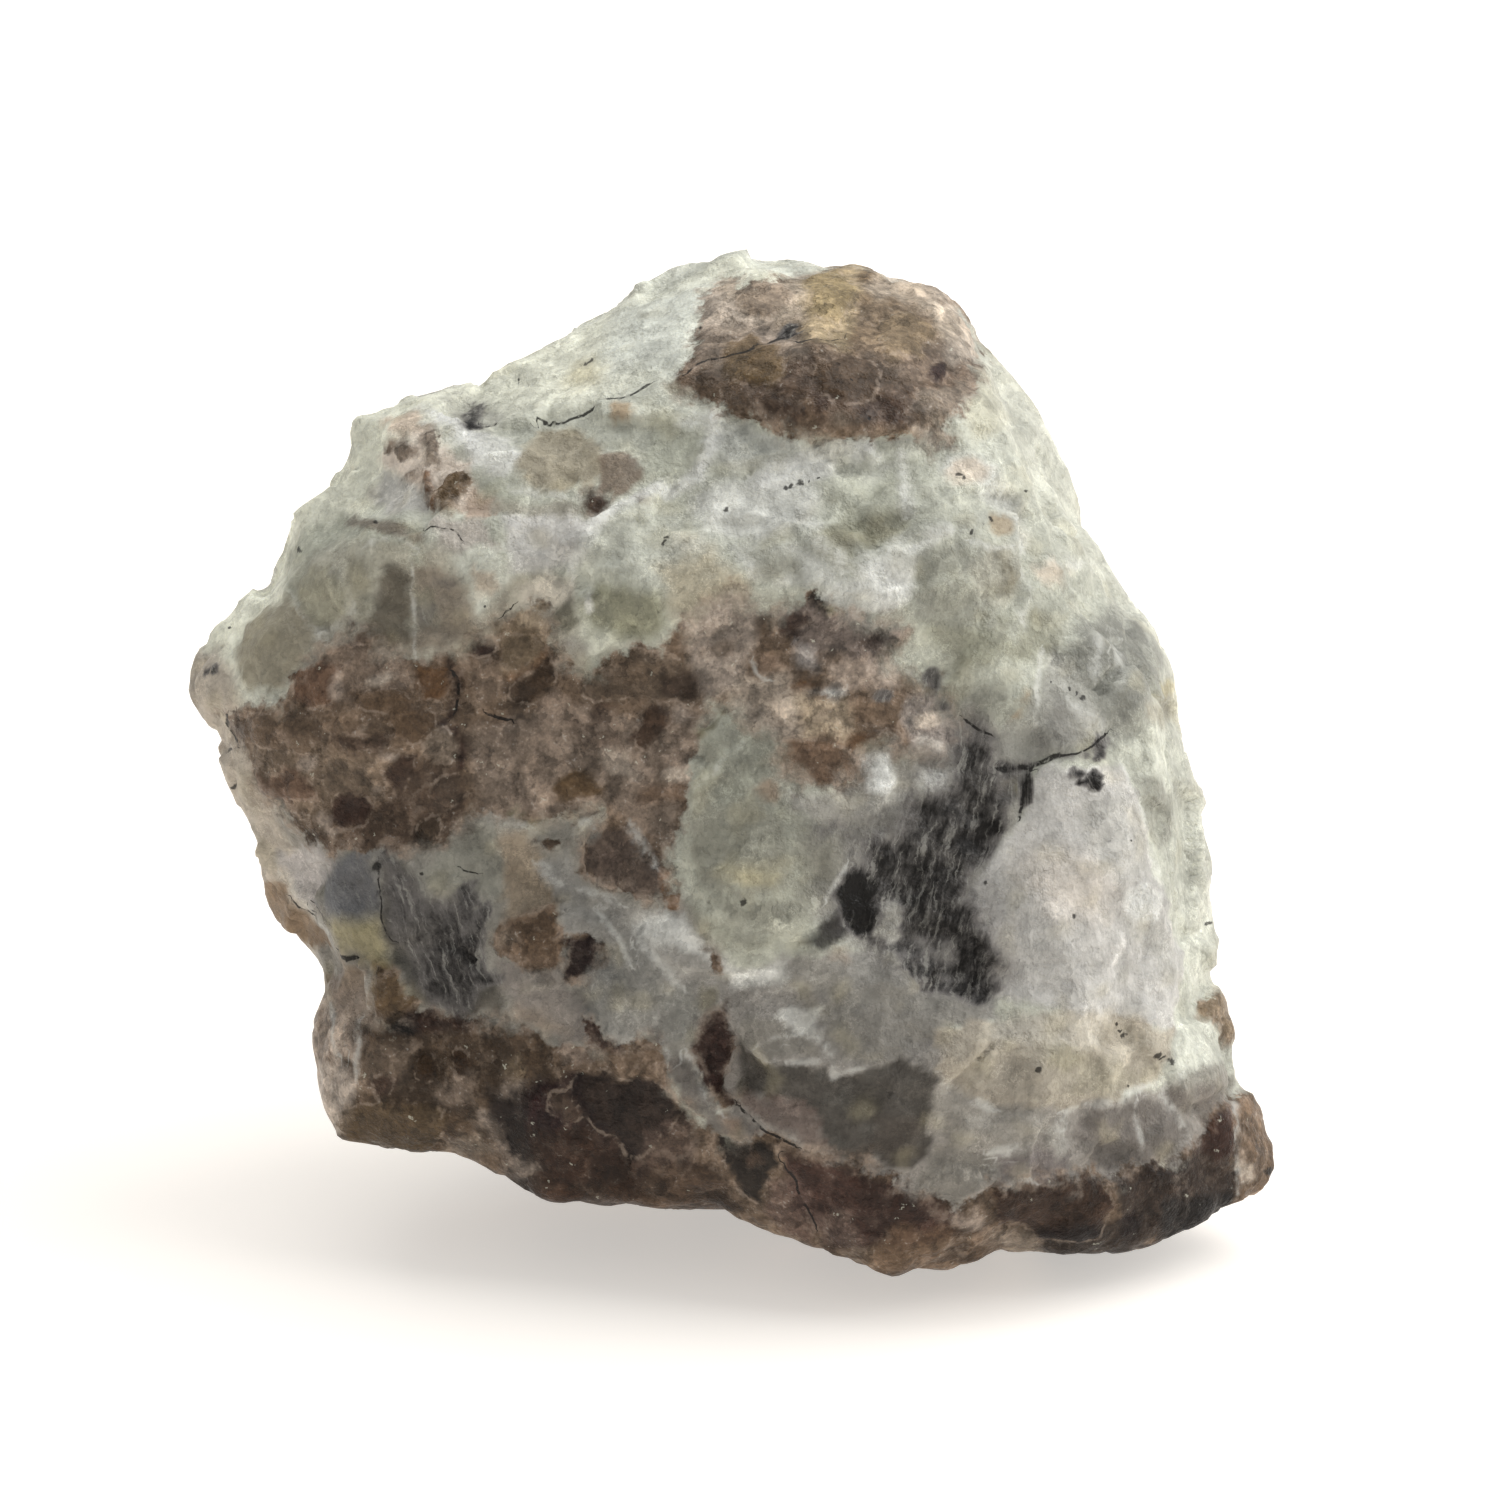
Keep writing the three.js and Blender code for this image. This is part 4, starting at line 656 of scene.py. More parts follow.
grain("#382c24", (10, -16.2), (11.6, -16), (12, -15.7), (12.6, -15.9), (13.6, -15.6), (14.2, -16),
    (14.6, -17), (14.2, -18.2), (12, -18.4), (11.6, -17.7), (10.4, -17.6), (10.1, -17), lift=0.1)
lay(smoky, "#2a1f18", area((11.8, -17.8), (15.6, -17.2), (16, -18.6), (12, -19)), 0.4, 0.8)
lay(smoky, "#2c2019", area((14.6, -15.8), (17.2, -15.2), (19.4, -13.2), (19.6, -16.6), (17, -18.6),
    (15, -18)), 0.6, 0.8)
lay(smoky, "#3c2c22", area((18, -13.9), (19.4, -13.2), (19.6, -14.8), (18.8, -15.2), (17.6, -14.8)), 0.4, 0.8)
lay(smoky, "#241810", area((16.4, -16.8), (19.3, -16.4), (19.2, -17.8), (16.6, -18.6)), 0.5, 0.8)
lay(smoky, "#6d5a48", area((19.4, -12.6), (20.6, -13), (21.6, -15), (21.4, -17), (19.2, -17.8),
    (19.6, -15)), 0.3, 0.85)
lay(smoky, SHELL, spot(19.8, -15.5, 0.3, 0.5), 0.25, 0.8)
lay(smoky, BUFF, area((10.1, -18.2), (10.5, -17.8), (11.4, -17.7), (11.8, -18.1), (12, -18.7),
    (10.8, -18.7)), 0.25, 0.8)
lay(smoky, BLUSH, area((8.6, -17.4), (9.6, -17.2), (9.8, -17.9), (8.8, -18)), 0.3, 0.7)

# a paler breath over the lump under the tract, and the coarse grains that stand out on the knob
lay(smoky, "#6f6156", area((-5.2, -2.6), (-2.8, -2.6), (-2.8, -4.8), (-5.2, -4.8)), 0.6, 0.25)
grain("#6a583f", (-0.3, 15.9), (0.9, 16.5), (2, 16), (2.1, 14.9), (0.9, 14.4), (-0.2, 15), lift=0.12)
grain("#57483a", (3.3, 15.3), (4.5, 15.8), (5.7, 15.2), (5.6, 14.1), (4.2, 13.8), (3.4, 14.4), lift=0.1)
grain("#85735a", (5.8, 17.1), (7.1, 17.4), (7.8, 16.5), (7.1, 15.6), (5.9, 15.8), lift=0.15)
grain("#97845f", (3, 18.7), (4.1, 19), (4.8, 18.1), (4.2, 17), (3.1, 17.2), lift=0.15)
grain("#8c7b69", (0.4, 18.6), (1.7, 18.9), (2.3, 17.9), (1.4, 17.1), (0.2, 17.5), lift=0.12)
outline = np.clip(joined(*grains), -2, 2)

# The dark mineral: a slip plane smeared blue-black, fibrous along the way it slipped. It shows as one
# big patch right of the middle, and as a bluish bruise at the left and another high on the left.
ink = np.zeros(len(u))


def smear(amount, shape, soft=0.4):
    cover = smooth_step((shape + 1.5 * fray) / (1.8 * soft) + 0.5) * front
    ink[:] += (amount - ink) * cover


smear(0.26, area((8.6, -3.6), (10.2, -4.4), (11, -6), (11.2, -8), (10.2, -9), (8.6, -8.4)), 1.2)
smear(0.74, area((6.4, -2.6), (7.2, -1.2), (8.4, -0.4), (8.6, 1.2), (9.6, 1.6), (10.1, 1.1), (10.2, -0.4),
    (10.5, -1.4), (10.7, -2.1), (10, -3), (9.6, -3.8), (9, -4.3), (8.9, -5), (9.4, -5.8), (9.8, -6.8),
    (10.1, -7.6), (10.1, -8.4), (9.8, -9), (8.6, -8.6), (7.4, -8.2), (6.5, -7.5), (5.6, -6.8), (5, -6.3),
    (4.2, -5.7), (3.9, -5), (4.2, -4.3), (4.8, -3.8), (5.3, -3), (6, -2.8)), 0.7)
smear(0.3, area((6.2, 0), (8.6, 0.4), (8.6, -1), (6.6, -1.4)), 0.6)
smear(0.74, area((8.9, -0.4), (9.8, -0.4), (10.3, -1.6), (10.6, -2.1), (10, -2.9), (9.5, -3.4), (8.8, -3.3),
    (8.7, -2), (9, -1.2)), 0.6)
smear(0.95, area((9.2, -2.6), (9.8, -2), (10.6, -1.95), (10.4, -2.6), (9.8, -3.2), (9, -3.6), (9.1, -3)),
    0.35)
smear(0.84, area((7, -4.4), (8.2, -4.1), (8.8, -5), (9.1, -5.8), (9.5, -6.8), (9.9, -7.5), (9.3, -7.8),
    (8.6, -7.2), (8, -6.6), (7.2, -6.6), (6.5, -6.2), (6.6, -5.2)), 0.9)
smear(0.95, spot(5.75, -3.4, 0.6, 0.36, -10), 0.4)
smear(1.3, area((4.3, -4.4), (4.7, -4.2), (5.3, -4.8), (5.6, -5.6), (5.4, -6.4), (4.8, -6.3), (4.3, -5.7),
    (4, -5)), 0.4)
smear(0.92, area((6.5, -7.4), (7, -7.8), (8, -8), (9.1, -8.3), (9.9, -8.6), (10.1, -8.8), (9.7, -9.1),
    (8.6, -8.7), (7.5, -8.4), (6.7, -7.9)), 0.3)
smear(0.85, area((8.9, -6.9), (9.7, -7), (10.1, -8.4), (9.4, -8.6), (8.8, -7.8)), 0.45)
smear(0.1, area((5.5, -5), (6.2, -5.1), (6.7, -6), (6.3, -6.7), (5.5, -6.4)), 0.2)
smear(0.3, area((6.9, -6.6), (8.3, -6.9), (8.7, -7.7), (7.4, -7.5)), 0.4)
smear(0.4, area((10.2, -0.5), (11.2, -0.6), (11, -1.4), (10.5, -1.5)), 0.3)
smear(0.4, spot(3.8, -2.5, 0.6, 0.5), 0.5)
smear(0.3, spot(4.9, -3.4, 0.6, 0.5), 0.5)
smear(0.8, spot(8.3, 2.35, 0.28, 0.24, -30), 0.25)
smear(0.6, area((7, 3.2), (7.5, 3.7), (8, 3.4), (8, 3.05), (7.4, 3.05)), 0.25)
smear(0.6, spot(5.9, 2.6, 0.22), 0.2)
smear(0.9, area((11.25, -0.2), (11.75, -0.3), (11.6, -1), (11.3, -1.6), (11.1, -1.9), (11.1, -1.2)), 0.2)
smear(0.6, area((10.3, 0), (11.8, 0.1), (11.6, -0.3), (10.5, -0.5)), 0.25)
for x, y, half in (
        (13.3, -0.35, 0.16), (13.55, -0.6, 0.2), (13.85, -0.45, 0.16), (13.95, -0.7, 0.12), (12.7, -0.2, 0.1),
        (12.95, -0.5, 0.1), (13.25, 0.1, 0.08), (14.3, 0.55, 0.12), (14.1, 0.25, 0.08)):
    smear(0.9, spot(x, y, half), 0.08)
smear(0.75, spot(14.2, 0.95, 0.3, 0.13, 15), 0.15)
smear(0.7, band(0.16, (12.8, -0.45), (13.05, -0.25)), 0.15)
smear(0.6, spot(14.5, 0.6, 0.2, 0.2), 0.2)
smear(0.45, band(0.4, (13, 0.4), (13.8, 0.55)), 0.25)
smear(0.25, area((12.4, 2.6), (13, 2.2), (13.9, 1.2), (13, 0.7), (11.8, 0.4), (12.2, 1.6)), 0.8)
smear(0.2, area((-15.4, -4.2), (-14.6, -3.6), (-13.5, -3.6), (-13.5, -5.6), (-14.8, -5.4)), 0.6)
smear(0.55, area((-13.3, -3.6), (-12.3, -4), (-11.6, -5.2), (-10.2, -5), (-9.6, -7), (-9.7, -8.6),
    (-10.4, -9.4), (-11.6, -9.2), (-12.2, -7.6), (-13.1, -6.4)), 0.8)
smear(0.72, area((-11.5, -6.6), (-10.6, -6), (-10, -6.8), (-10, -8.8), (-10.8, -9.4), (-11.2, -8.4)), 0.8)
smear(0.8, band(0.45, (-10.1, -4.9), (-9.6, -5.5), (-9.5, -6), (-9.8, -6.8), (-9.6, -7.6), (-9.2, -8.3)),
    0.35)
smear(0.35, area((-11.1, 13.9), (-9.6, 14.3), (-8.8, 13.4), (-9.4, 12.7), (-10.6, 13)), 0.8)
smear(0.9, spot(-10, 13.35, 0.26, 0.26), 0.3)
smear(0.7, spot(-9.8, 13.9, 0.18), 0.25)
smear(0.85, spot(-19.8, 3.62, 0.22, 0.15, 20), 0.12)
smear(0.4, area((-12.3, 6.2), (-11.5, 6.2), (-11.6, 5.4), (-12.2, 5.4)), 0.4)
smear(0.3, spot(-11.1, 7.1, 0.3, 0.2), 0.3)
smear(0.75, area((1.7, 16.5), (2.1, 16.75), (2.6, 16.9), (2.55, 16.65), (2, 16.45)), 0.15)

# Black seams and white veins, and one painted glint drawn as a white line, as lines: each point keeps
# how far off the line it is, to one side or the other, counted in half widths of that line.
FAR = 9.0
GONE_BEHIND = 3


def line_up(lines):
    sideways, gap = np.full(len(u), FAR), np.full(len(u), FAR)
    for width, path in lines:
        for (x0, y0), (x1, y1) in zip(path, path[1:]):
            distance = off_line(x0, y0, x1, y1)
            side = np.sign((v - y0) * (x1 - x0) - (u - x0) * (y1 - y0))
            closer = distance < gap
            gap = np.where(closer, distance, gap)
            sideways = np.where(closer, side * distance / (width / 2), sideways)
    gap = gap + GONE_BEHIND * back
    return np.clip(sideways, -FAR, FAR), np.minimum(gap, FAR)


BLACK_SEAMS = [
    (0.11, [(-7.3, 13.4), (-6.8, 13.4), (-6.1, 13.65), (-5.2, 13.85), (-4.5, 14.1),
            (-3.6, 14.5), (-3.1, 14.7)]),
    (0.06, [(-7.4, 13.15), (-7, 13.3)]),
    (0.09, [(-1.7, 15), (-1.5, 15.4), (-1, 15.5), (0, 15.65), (0.6, 15.9), (1.2, 16.2)]),
    (0.12, [(1.6, 16.45), (2.1, 16.7), (2.6, 16.85)]),
    (0.06, [(2.6, 16.25), (3.3, 16.35), (4.2, 16.5)]),
    (0.34, [(10.5, -0.2), (11.5, -0.1)]),
    (0.22, [(11.5, -0.1), (12, 0.08), (12.9, 0.38)]),
    (0.16, [(11.5, -0.1), (11.5, -0.8), (11.2, -1.5), (11.1, -1.9)]),
    (0.1, [(12.9, 0.38), (13.5, 0.55), (14.2, 0.95), (14.6, 1.1)]),
    (0.14, [(9.1, 1.8), (9.4, 1.5), (9.6, 1.3), (10, 1.15)]),
    (0.07, [(-13.5, -3.9), (-13.45, -4.6), (-13.45, -5.6), (-13.35, -6.2), (-13.1, -6.7)]),
    (0.07, [(-10.5, -3.9), (-10.3, -4.1), (-9.9, -4.2)]),
    (0.12, [(-16, -5.4), (-15.7, -5.7), (-15.4, -6)]),
    (0.16, [(-14.8, -7.3), (-14.65, -7.5)]),
    (0.1, [(-16.8, -5.2), (-16.5, -5.6), (-16.2, -5.8)]),
    (0.08, [(-11.8, 9.2), (-11.2, 9.1), (-10.7, 9), (-10.4, 8.7)]),
    (0.14, [(-19.35, 2), (-19.55, 1.5), (-19.25, 0.9)]),
    (0.12, [(-10.7, 3.6), (-10.55, 2.9), (-10.6, 2.1), (-10.75, 1.8)]),
    (0.1, [(0.3, -13.2), (1.1, -13.9), (1.9, -14.4), (2.5, -14.65)]),
    (0.08, [(-11, 13.45), (-10.4, 13.3), (-9.6, 13.2), (-9.1, 13.15)]),
    (0.07, [(-8.7, 5.9), (-8.4, 6.2)]),
    (0.12, [(-9.3, 2), (-8.9, 1.9), (-8.6, 1.7)]),
    (0.1, [(2, -15.2), (2.6, -16.3), (3.3, -17.8)]),
]
WHITE_VEINS_AND_GLINT = [
    (0.35, [(-12, 13.4), (-11.1, 12.9), (-10.3, 12.5)]),
    (0.14, [(-16.8, 6.3), (-16.3, 5.5), (-15.9, 5)]),
    (0.24, [(-16.3, 5.3), (-15.5, 5.2), (-14.7, 5.6), (-14.6, 6)]),
    (0.12, [(-13.8, 8.4), (-13.5, 8.6), (-12.4, 8.7), (-12, 8.4)]),
    (0.1, [(-12.2, 7.8), (-12.25, 6), (-12.2, 4.4)]),
    (0.16, [(-8.4, 10.6), (-6.9, 10.3), (-6, 10.3)]),
    (0.38, [(-1.9, 13.3), (-1.2, 13.4), (-0.7, 13.1), (-0.7, 12.4), (-0.9, 11.7)]),
    (0.2, [(-0.9, 11.7), (-1.3, 11.2), (-2.3, 10.8), (-3.1, 10.5), (-4, 9.9), (-5, 9.1), (-5.7, 8.2)]),
    (0.3, [(3.2, 8.7), (4, 8), (4.6, 7.3), (5.8, 8.1), (7, 8.7), (8.4, 9)]),
    (0.14, [(9.4, 8.7), (10.2, 8.3), (10.9, 8.4), (11.3, 7.8), (11.35, 6.5), (11.2, 5.4)]),
    (0.2, [(12.5, 8), (13.2, 7.7)]),
    (0.12, [(6.6, 12), (6.7, 11), (6.6, 10.1)]),
    (0.14, [(14.9, 0.1), (15.6, -1.2), (15.95, -2.2), (16.1, -3.1), (16.4, -4)]),
    (0.3, [(12.9, 2.7), (13.4, 2.1), (14, 1.7), (14.3, 1.4)]),
    (0.25, [(14, 4.8), (14, 3.4)]),
    (0.25, [(14.8, 5), (14.9, 3.2)]),
    (0.14, [(11.9, 4.2), (11.6, 3), (11.8, 1.6)]),
    (0.18, [(-9.2, -1.9), (-8.2, -2.3), (-6.6, -2.35), (-5.7, -2.2), (-5.4, -2.4)]),
    (0.25, [(-3.7, -2.5), (-3.4, -3.2), (-3, -3.8)]),
    (0.16, [(-17.2, -4.2), (-16.5, -5.2), (-15.9, -6), (-15.2, -7)]),
    (0.2, [(-7.4, -3.8), (-6.6, -4.6), (-5, -5), (-4.2, -5.3)]),
    (0.16, [(-5.2, -5.6), (-4.6, -6.4), (-3.9, -7.5)]),
    (0.18, [(-3.5, -6.8), (-2.9, -7.5), (-2.2, -8.5), (-1.9, -8.6)]),
    (0.14, [(-3, -9), (-2.9, -10.2), (-2.4, -11.2)]),
    (0.14, [(-1.7, -11.2), (-1.3, -11.9), (-1, -12.7), (-0.4, -13.3)]),
    (0.16, [(1.2, -10.8), (2, -10.4), (2.8, -10.2)]),
    (0.14, [(1.3, -11.3), (2.4, -11.6), (3.5, -11.45)]),
    (0.14, [(3.8, -11.3), (3.9, -12.1), (5.3, -11.7)]),
    (0.2, [(8.2, -12), (9, -12.9), (10.1, -13.2)]),
    (0.2, [(10.1, -14.9), (11, -14.8), (12, -14.5), (12.8, -14.1)]),
    (0.14, [(13, -13.3), (14.1, -13.2), (15, -12.8), (16.3, -12.3)]),
    (0.16, [(17.1, -12), (16.7, -12.8), (17.3, -13.5), (17.6, -14.2)]),
    (0.12, [(15.6, -13.1), (15.7, -14.2), (15.9, -15.2)]),
    (0.14, [(-14.4, -7.8), (-14.2, -8.8), (-14.3, -10.4), (-14.3, -12)]),
    (0.12, [(-15.4, -9.2), (-15.1, -10.4), (-15, -11.2)]),
    (0.12, [(10.1, -15.7), (10.9, -16.05), (11.5, -16)]),
    (0.12, [(19.45, -13), (19.55, -14.5), (19.4, -16.4)]),
    # not a vein: this short white arc on the edge of a brown grain is a painted glint
    (0.1, [(0.9, 4), (1, 3.6), (1.4, 3.4)]),
    (0.14, [(-1.2, -0.8), (-0.4, 0), (0.5, 0.9)]),
    (0.12, [(3.6, -5.2), (4, -4.5), (4.3, -3.9)]),
]
seam, seam_gap = line_up(BLACK_SEAMS)
vein_and_glint, vein_and_glint_gap = line_up(WHITE_VEINS_AND_GLINT)

# Flecks of ore no bigger than a full stop: place and half width.
FLECKS = [
    (-10, 13.3, 0.12), (-9.05, 13.2, 0.06), (-8.15, 14.75, 0.05), (-16.5, 8.2, 0.08), (-18.6, 6.5, 0.07),
    (-19.4, 5.3, 0.06), (-9.35, 6.25, 0.05), (-19.4, 0.55, 0.07), (-19.1, -0.65, 0.06), (-13.7, 9.35, 0.08),
    (2.15, 10.6, 0.08), (2.7, 10.8, 0.11), (3.3, 10.95, 0.04), (-0.2, 9.95, 0.09), (-2.55, 8.75, 0.13),
    (-2.75, 8.45, 0.07), (8.75, 11.1, 0.1), (9, 11, 0.08), (10, 9.5, 0.09),
    (11.4, 10.6, 0.06), (12.05, 9.72, 0.06), (9.3, 9.05, 0.08), (13, 2.9, 0.07), (13.55, 2.6, 0.1),
    (12.2, 3, 0.04), (17.2, 2.2, 0.04), (14.55, 1.1, 0.06),
    (9.9, -4.5, 0.09), (16.6, -1.6, 0.04), (15.3, -2.9, 0.04), (18.35, -6.1, 0.06), (13.2, -5.7, 0.08),
    (0.5, -5.3, 0.14), (-13.55, -3.9, 0.16), (-11.85, -4.2, 0.07), (15.1, -10, 0.07), (15.4, -10.4, 0.11),
    (16.4, -11.3, 0.1), (16.9, -11.4, 0.1), (11.7, -11.75, 0.09), (15.4, -12.4, 0.06), (20.65, -15.6, 0.16),
    (-5.3, 15.6, 0.06), (-5.5, 15.5, 0.06), (-1.2, 16.9, 0.05), (5.3, 13.35, 0.09), (4.6, 14.75, 0.06),
]

# Round the sides and back the same two minerals carry on: brown over the top behind the knob and in
# a slanting tract to the foot, milky green between them, with bruised grey where it was struck.
lay(pale, SAGE, spot(0, 2, 16, 12), 6, 0.8, side=back)
lay(pale, CREAM, area((-16, 12), (-8, 15.6), (-2, 16), (-4, 9), (-12, 7), (-17, 8)), 2.5, 0.8, side=back)
lay(pale, MILK, area((9, 14), (15, 8), (18, 2), (17, -4), (12, 2), (9, 8)), 2.5, 0.8, side=back)
lay(pale, MOSS, area((-2, 8), (3, 9), (6, 5), (4, 0), (-1, -1), (-4, 3)), 2, 0.7, 0.2, side=back)
lay(pale, SLATE, area((-12, -1), (-7, 1), (-5, -4), (-8, -8), (-13, -6)), 1.2, 0.8, side=back)
lay(pale, LEAD, area((-10, -2), (-7.4, -1.6), (-7, -4.4), (-9.6, -5)), 0.8, 0.6, -0.1, side=back)
lay(pale, FROST, area((8, 0), (13, 1), (15, -4), (11, -7), (7, -4)), 0.8, 0.8, 0.1, side=back)
lay(pale, STRAW, spot(-13, 3, 2.5, 1.8, 30), 1.5, 0.7, side=back)
lay(pale, SAND, spot(12.6, 8, 2, 1.2, -40), 1.2, 0.7, side=back)
lay(pale, CHALK, band(0.8, (-9, 12), (-4, 7), (1, 3), (6, -3)), 0.6, 0.8, side=back)
lay(pale, CHALK, band(0.6, (-14, -2), (-8, -6.5), (-3, -6)), 0.5, 0.7, side=back)
behind = joined(area((3.6, 19.2), (5, 20.4), (9.6, 19.6), (10, 13), (8, 9.6), (4, 10.8), (1, 13),
    (0.6, 17)), area((-20, 3), (-17, 5.6), (-12.6, 4.2), (-8.6, 5.6), (-4.2, 2), (-1, -2), (2.6, -4.6),
    (6.5, -5.6), (5.6, -8.8), (1.5, -7.6), (-3.2, -4.6), (-6.6, 0), (-10, 0.8), (-14, -1), (-19, -1)),
    area((-18, -9.6), (-12, -11.4), (-6, -9.4), (0, -11), (5, -12.8), (12, -11.6), (17, -14), (22, -12),
    (21, -22), (-18, -22)), area((-21, -2.4), (-14.4, -3.6), (-11.6, -8), (-12.6, -12), (-21, -12)),
    spot(10.4, 3.6, 2.2, 1.1, -35), spot(-12.2, 10, 1.4, 0.8, 25), spot(3.6, 6.4, 1.1, 0.7, 10))
behind = np.clip(behind + 0.9 * noise_at(2.2, 11, 2), -2, 2)
brown = brown * front + behind * back
lay(smoky, UMBER, area((-14, 4), (-8, 5), (-3, 0), (-6, -2), (-12, 0)), 1.5, 0.7, side=back)
lay(smoky, BUFF, area((1, 19), (8, 18), (8, 13), (2, 13)), 1.5, 0.7, side=back)
lay(smoky, ROSE, area((-2, -2), (3, -4), (6, -6), (4, -8), (-2, -6)), 1.2, 0.7, side=back)
lay(smoky, BARK, spot(-9, -13, 3, 1.6), 1, 0.7, side=back)
lay(smoky, UMBER, area((2, -13), (10, -13), (16, -15), (14, -19), (0, -18)), 1.5, 0.7, side=back)
ink += back * 0.8 * smooth_step((0.9 - np.abs(spot(-8.6, -3.4, 2.2, 1.2, 35) - 0.9)) * 1.2)
ink += back * 0.6 * smooth_step(spot(9.6, 9, 1.2, 0.6, 60) * 3)

# The feldspar broke along its cleavage into small tilted chips and steps, the quartz into rounded
# grains with grooves between them. Towards the foot the skin calms down to stand flat.
def cells(size, seed):
    shift = SEED_STEP * seed
    found = [noise.voronoi(p / size + shift) for p in corners]
    reach = np.array([distances[:2] for distances, _ in found]) * size
    centre = (np.array([places[0] for _, places in found]) - np.array(shift)) * size
    return centre, reach[:, 1] - reach[:, 0]


MIXING = np.array((12.99, 78.23, 37.72))
MIXING_SCALE, MIXING_SPREAD = 3.1, 43758.5


def scatter(centre, seed):
    mixed = np.sin(centre @ MIXING * MIXING_SCALE + seed) * MIXING_SPREAD
    return mixed - np.floor(mixed)


def chips(centre, rim, tilt, step):
    lean = np.stack([scatter(centre, k) - 0.5 for k in (1, 2, 3)], axis=1)
    height = ((points - centre) * lean).sum(axis=1) * tilt + (scatter(centre, 4) - 0.5) * step
    return height * (0.7 + 0.3 * smooth_step(rim / 0.5))


edge_ends = np.empty(len(stone.data.edges) * 2, np.int32)
stone.data.edges.foreach_get("vertices", edge_ends)
one_end, other_end = edge_ends.reshape(-1, 2).T
touching = np.bincount(edge_ends, minlength=len(u))


def evened(values, passes):
    for _ in range(passes):
        around = np.bincount(one_end, values[other_end], len(u))
        around += np.bincount(other_end, values[one_end], len(u))
        values = 0.5 * values + 0.5 * around / touching
    return values


def groove(off_middle, half_width, deep):
    return deep * np.exp(-(off_middle / half_width) ** 2)


GRAIN_SIZE, CHIP_SIZE, SPLINTER_SIZE = 1.5, 3.0, 1.5
DOME_RISE, GRAIN_STEP = 0.13, 0.12
CHIP_TILT, CHIP_STEP, SPLINTER_STEP = 0.42, 0.24, 0.14
LOWEST, HIGHEST = -0.34, 0.28
FLAT_FOOT = 1.2
in_brown = smooth_step(brown / 0.4 + 0.5)
grain_centre, grain_rim = cells(GRAIN_SIZE, 5)
chip_centre, chip_rim = cells(CHIP_SIZE, 7)
grain_tone, chip_tone = scatter(grain_centre, 6), scatter(chip_centre, 9)
domes = DOME_RISE * np.sqrt(np.clip(grain_rim / 0.5, 0, 1)) + GRAIN_STEP * (grain_tone - 0.5)
splinters = chips(*cells(SPLINTER_SIZE, 8), CHIP_TILT, SPLINTER_STEP)
ledges = chips(chip_centre, chip_rim, CHIP_TILT, CHIP_STEP) + 0.6 * splinters
smooth_slab = np.zeros(len(u))
for shape, soft in (
        (area((11.4, -1), (15.4, -1), (17, -7), (16.6, -9.4), (10.6, -9), (9.8, -5)), 1.5),
        (spot(-17.5, 4.6, 1.6, 1.8), 0.6),
        (area((-8, 13.6), (-3, 13.8), (0.6, 19), (-2, 20.4), (-8, 16)), 1.2)):
    smooth_slab = np.maximum(smooth_slab, smooth_step(shape / soft + 0.5))
smooth_slab *= front
ledges *= 1 - 0.7 * smooth_slab
relief = 0.04 + 0.13 * noise_at(2.4, 21, 2) + 0.06 * noise_at(0.8, 22, 3) + swelling
relief += domes * in_brown + ledges * (1 - in_brown)
relief -= groove(outline, 0.16, 0.08) + groove(seam_gap, 0.22, 0.12) + groove(brown, 0.18, 0.08)
relief = np.clip(0.5 * relief + 0.5 * evened(relief, 1), LOWEST, HIGHEST)
calm = smooth_step(points[:, 2] / FLAT_FOOT)
shaped = points + normals * (relief * calm)[:, None]
shaped[:, 2] = np.maximum(shaped[:, 2], 0)
stone.data.vertices.foreach_set("co", (shaped * MM).ravel())
for face in stone.data.polygons:
    face.use_smooth = True
stone.data.update()


def keep_values(name, values):
    kept = stone.data.attributes.new(name, "FLOAT", "POINT")
    kept.data.foreach_set("value", values.astype(np.float32))


def keep_colours(name, colours):
    kept = stone.data.attributes.new(name, "FLOAT_COLOR", "POINT")
    with_alpha = np.column_stack([colours, np.ones(len(colours))]).astype(np.float32)
    kept.data.foreach_set("color", with_alpha.ravel())


to_fleck, fleck_gap = np.full((len(u), 3), FAR), np.full(len(u), FAR)
for fleck_u, fleck_v, half_wide in FLECKS:
    distance = np.hypot(u - fleck_u, v - fleck_v) + FAR * back
    closer = distance < fleck_gap
    fleck_gap = np.where(closer, distance, fleck_gap)
    away = np.column_stack([u - fleck_u, v - fleck_v, np.zeros(len(u))]) / half_wide
    to_fleck = np.where(closer[:, None], away, to_fleck)
fleck_offsets = stone.data.attributes.new("to_fleck", "FLOAT_VECTOR", "POINT")
fleck_offsets.data.foreach_set("vector", to_fleck.astype(np.float32).ravel())
broad = noise_at(2.2, 41, 3)
pale *= (1 + 0.08 * broad)[:, None]
honey = smooth_step((noise_at(1.4, 42, 2) - 0.2) / 0.5) * 0.2
pale += (pigment(STRAW) - pale) * honey[:, None]
shadowy = smooth_step((noise_at(1.1, 43, 3) - 0.15) / 0.5) * 0.16
pale += (pigment(SLATE) - pale) * shadowy[:, None]
smoky *= (1 + 0.2 * noise_at(1.6, 44, 2))[:, None]
turned = smooth_step((0.3 - normals @ OUTWARD) / 0.4)
window = smooth_step((scatter(chip_centre, 12) + 0.5 * broad - 0.68) / 0.12) * smooth_step(chip_rim / 0.4)
window *= turned
pale += (pigment(OLIVE) - pale) * (0.55 * window)[:, None]
bruised = smooth_step((scatter(chip_centre, 14) - 0.5 * broad - 0.72) / 0.12) * turned
pale += (pigment(FROST) - pale) * (0.6 * bruised)[:, None]
pale *= (1 + 0.3 * (scatter(chip_centre, 11) - 0.5) * turned)[:, None]
smoky *= (1 + 0.7 * (scatter(grain_centre, 13) - 0.5) * turned)[:, None]
greyness = smoky.mean(axis=1, keepdims=True)
smoky += 0.12 * (greyness - smoky)
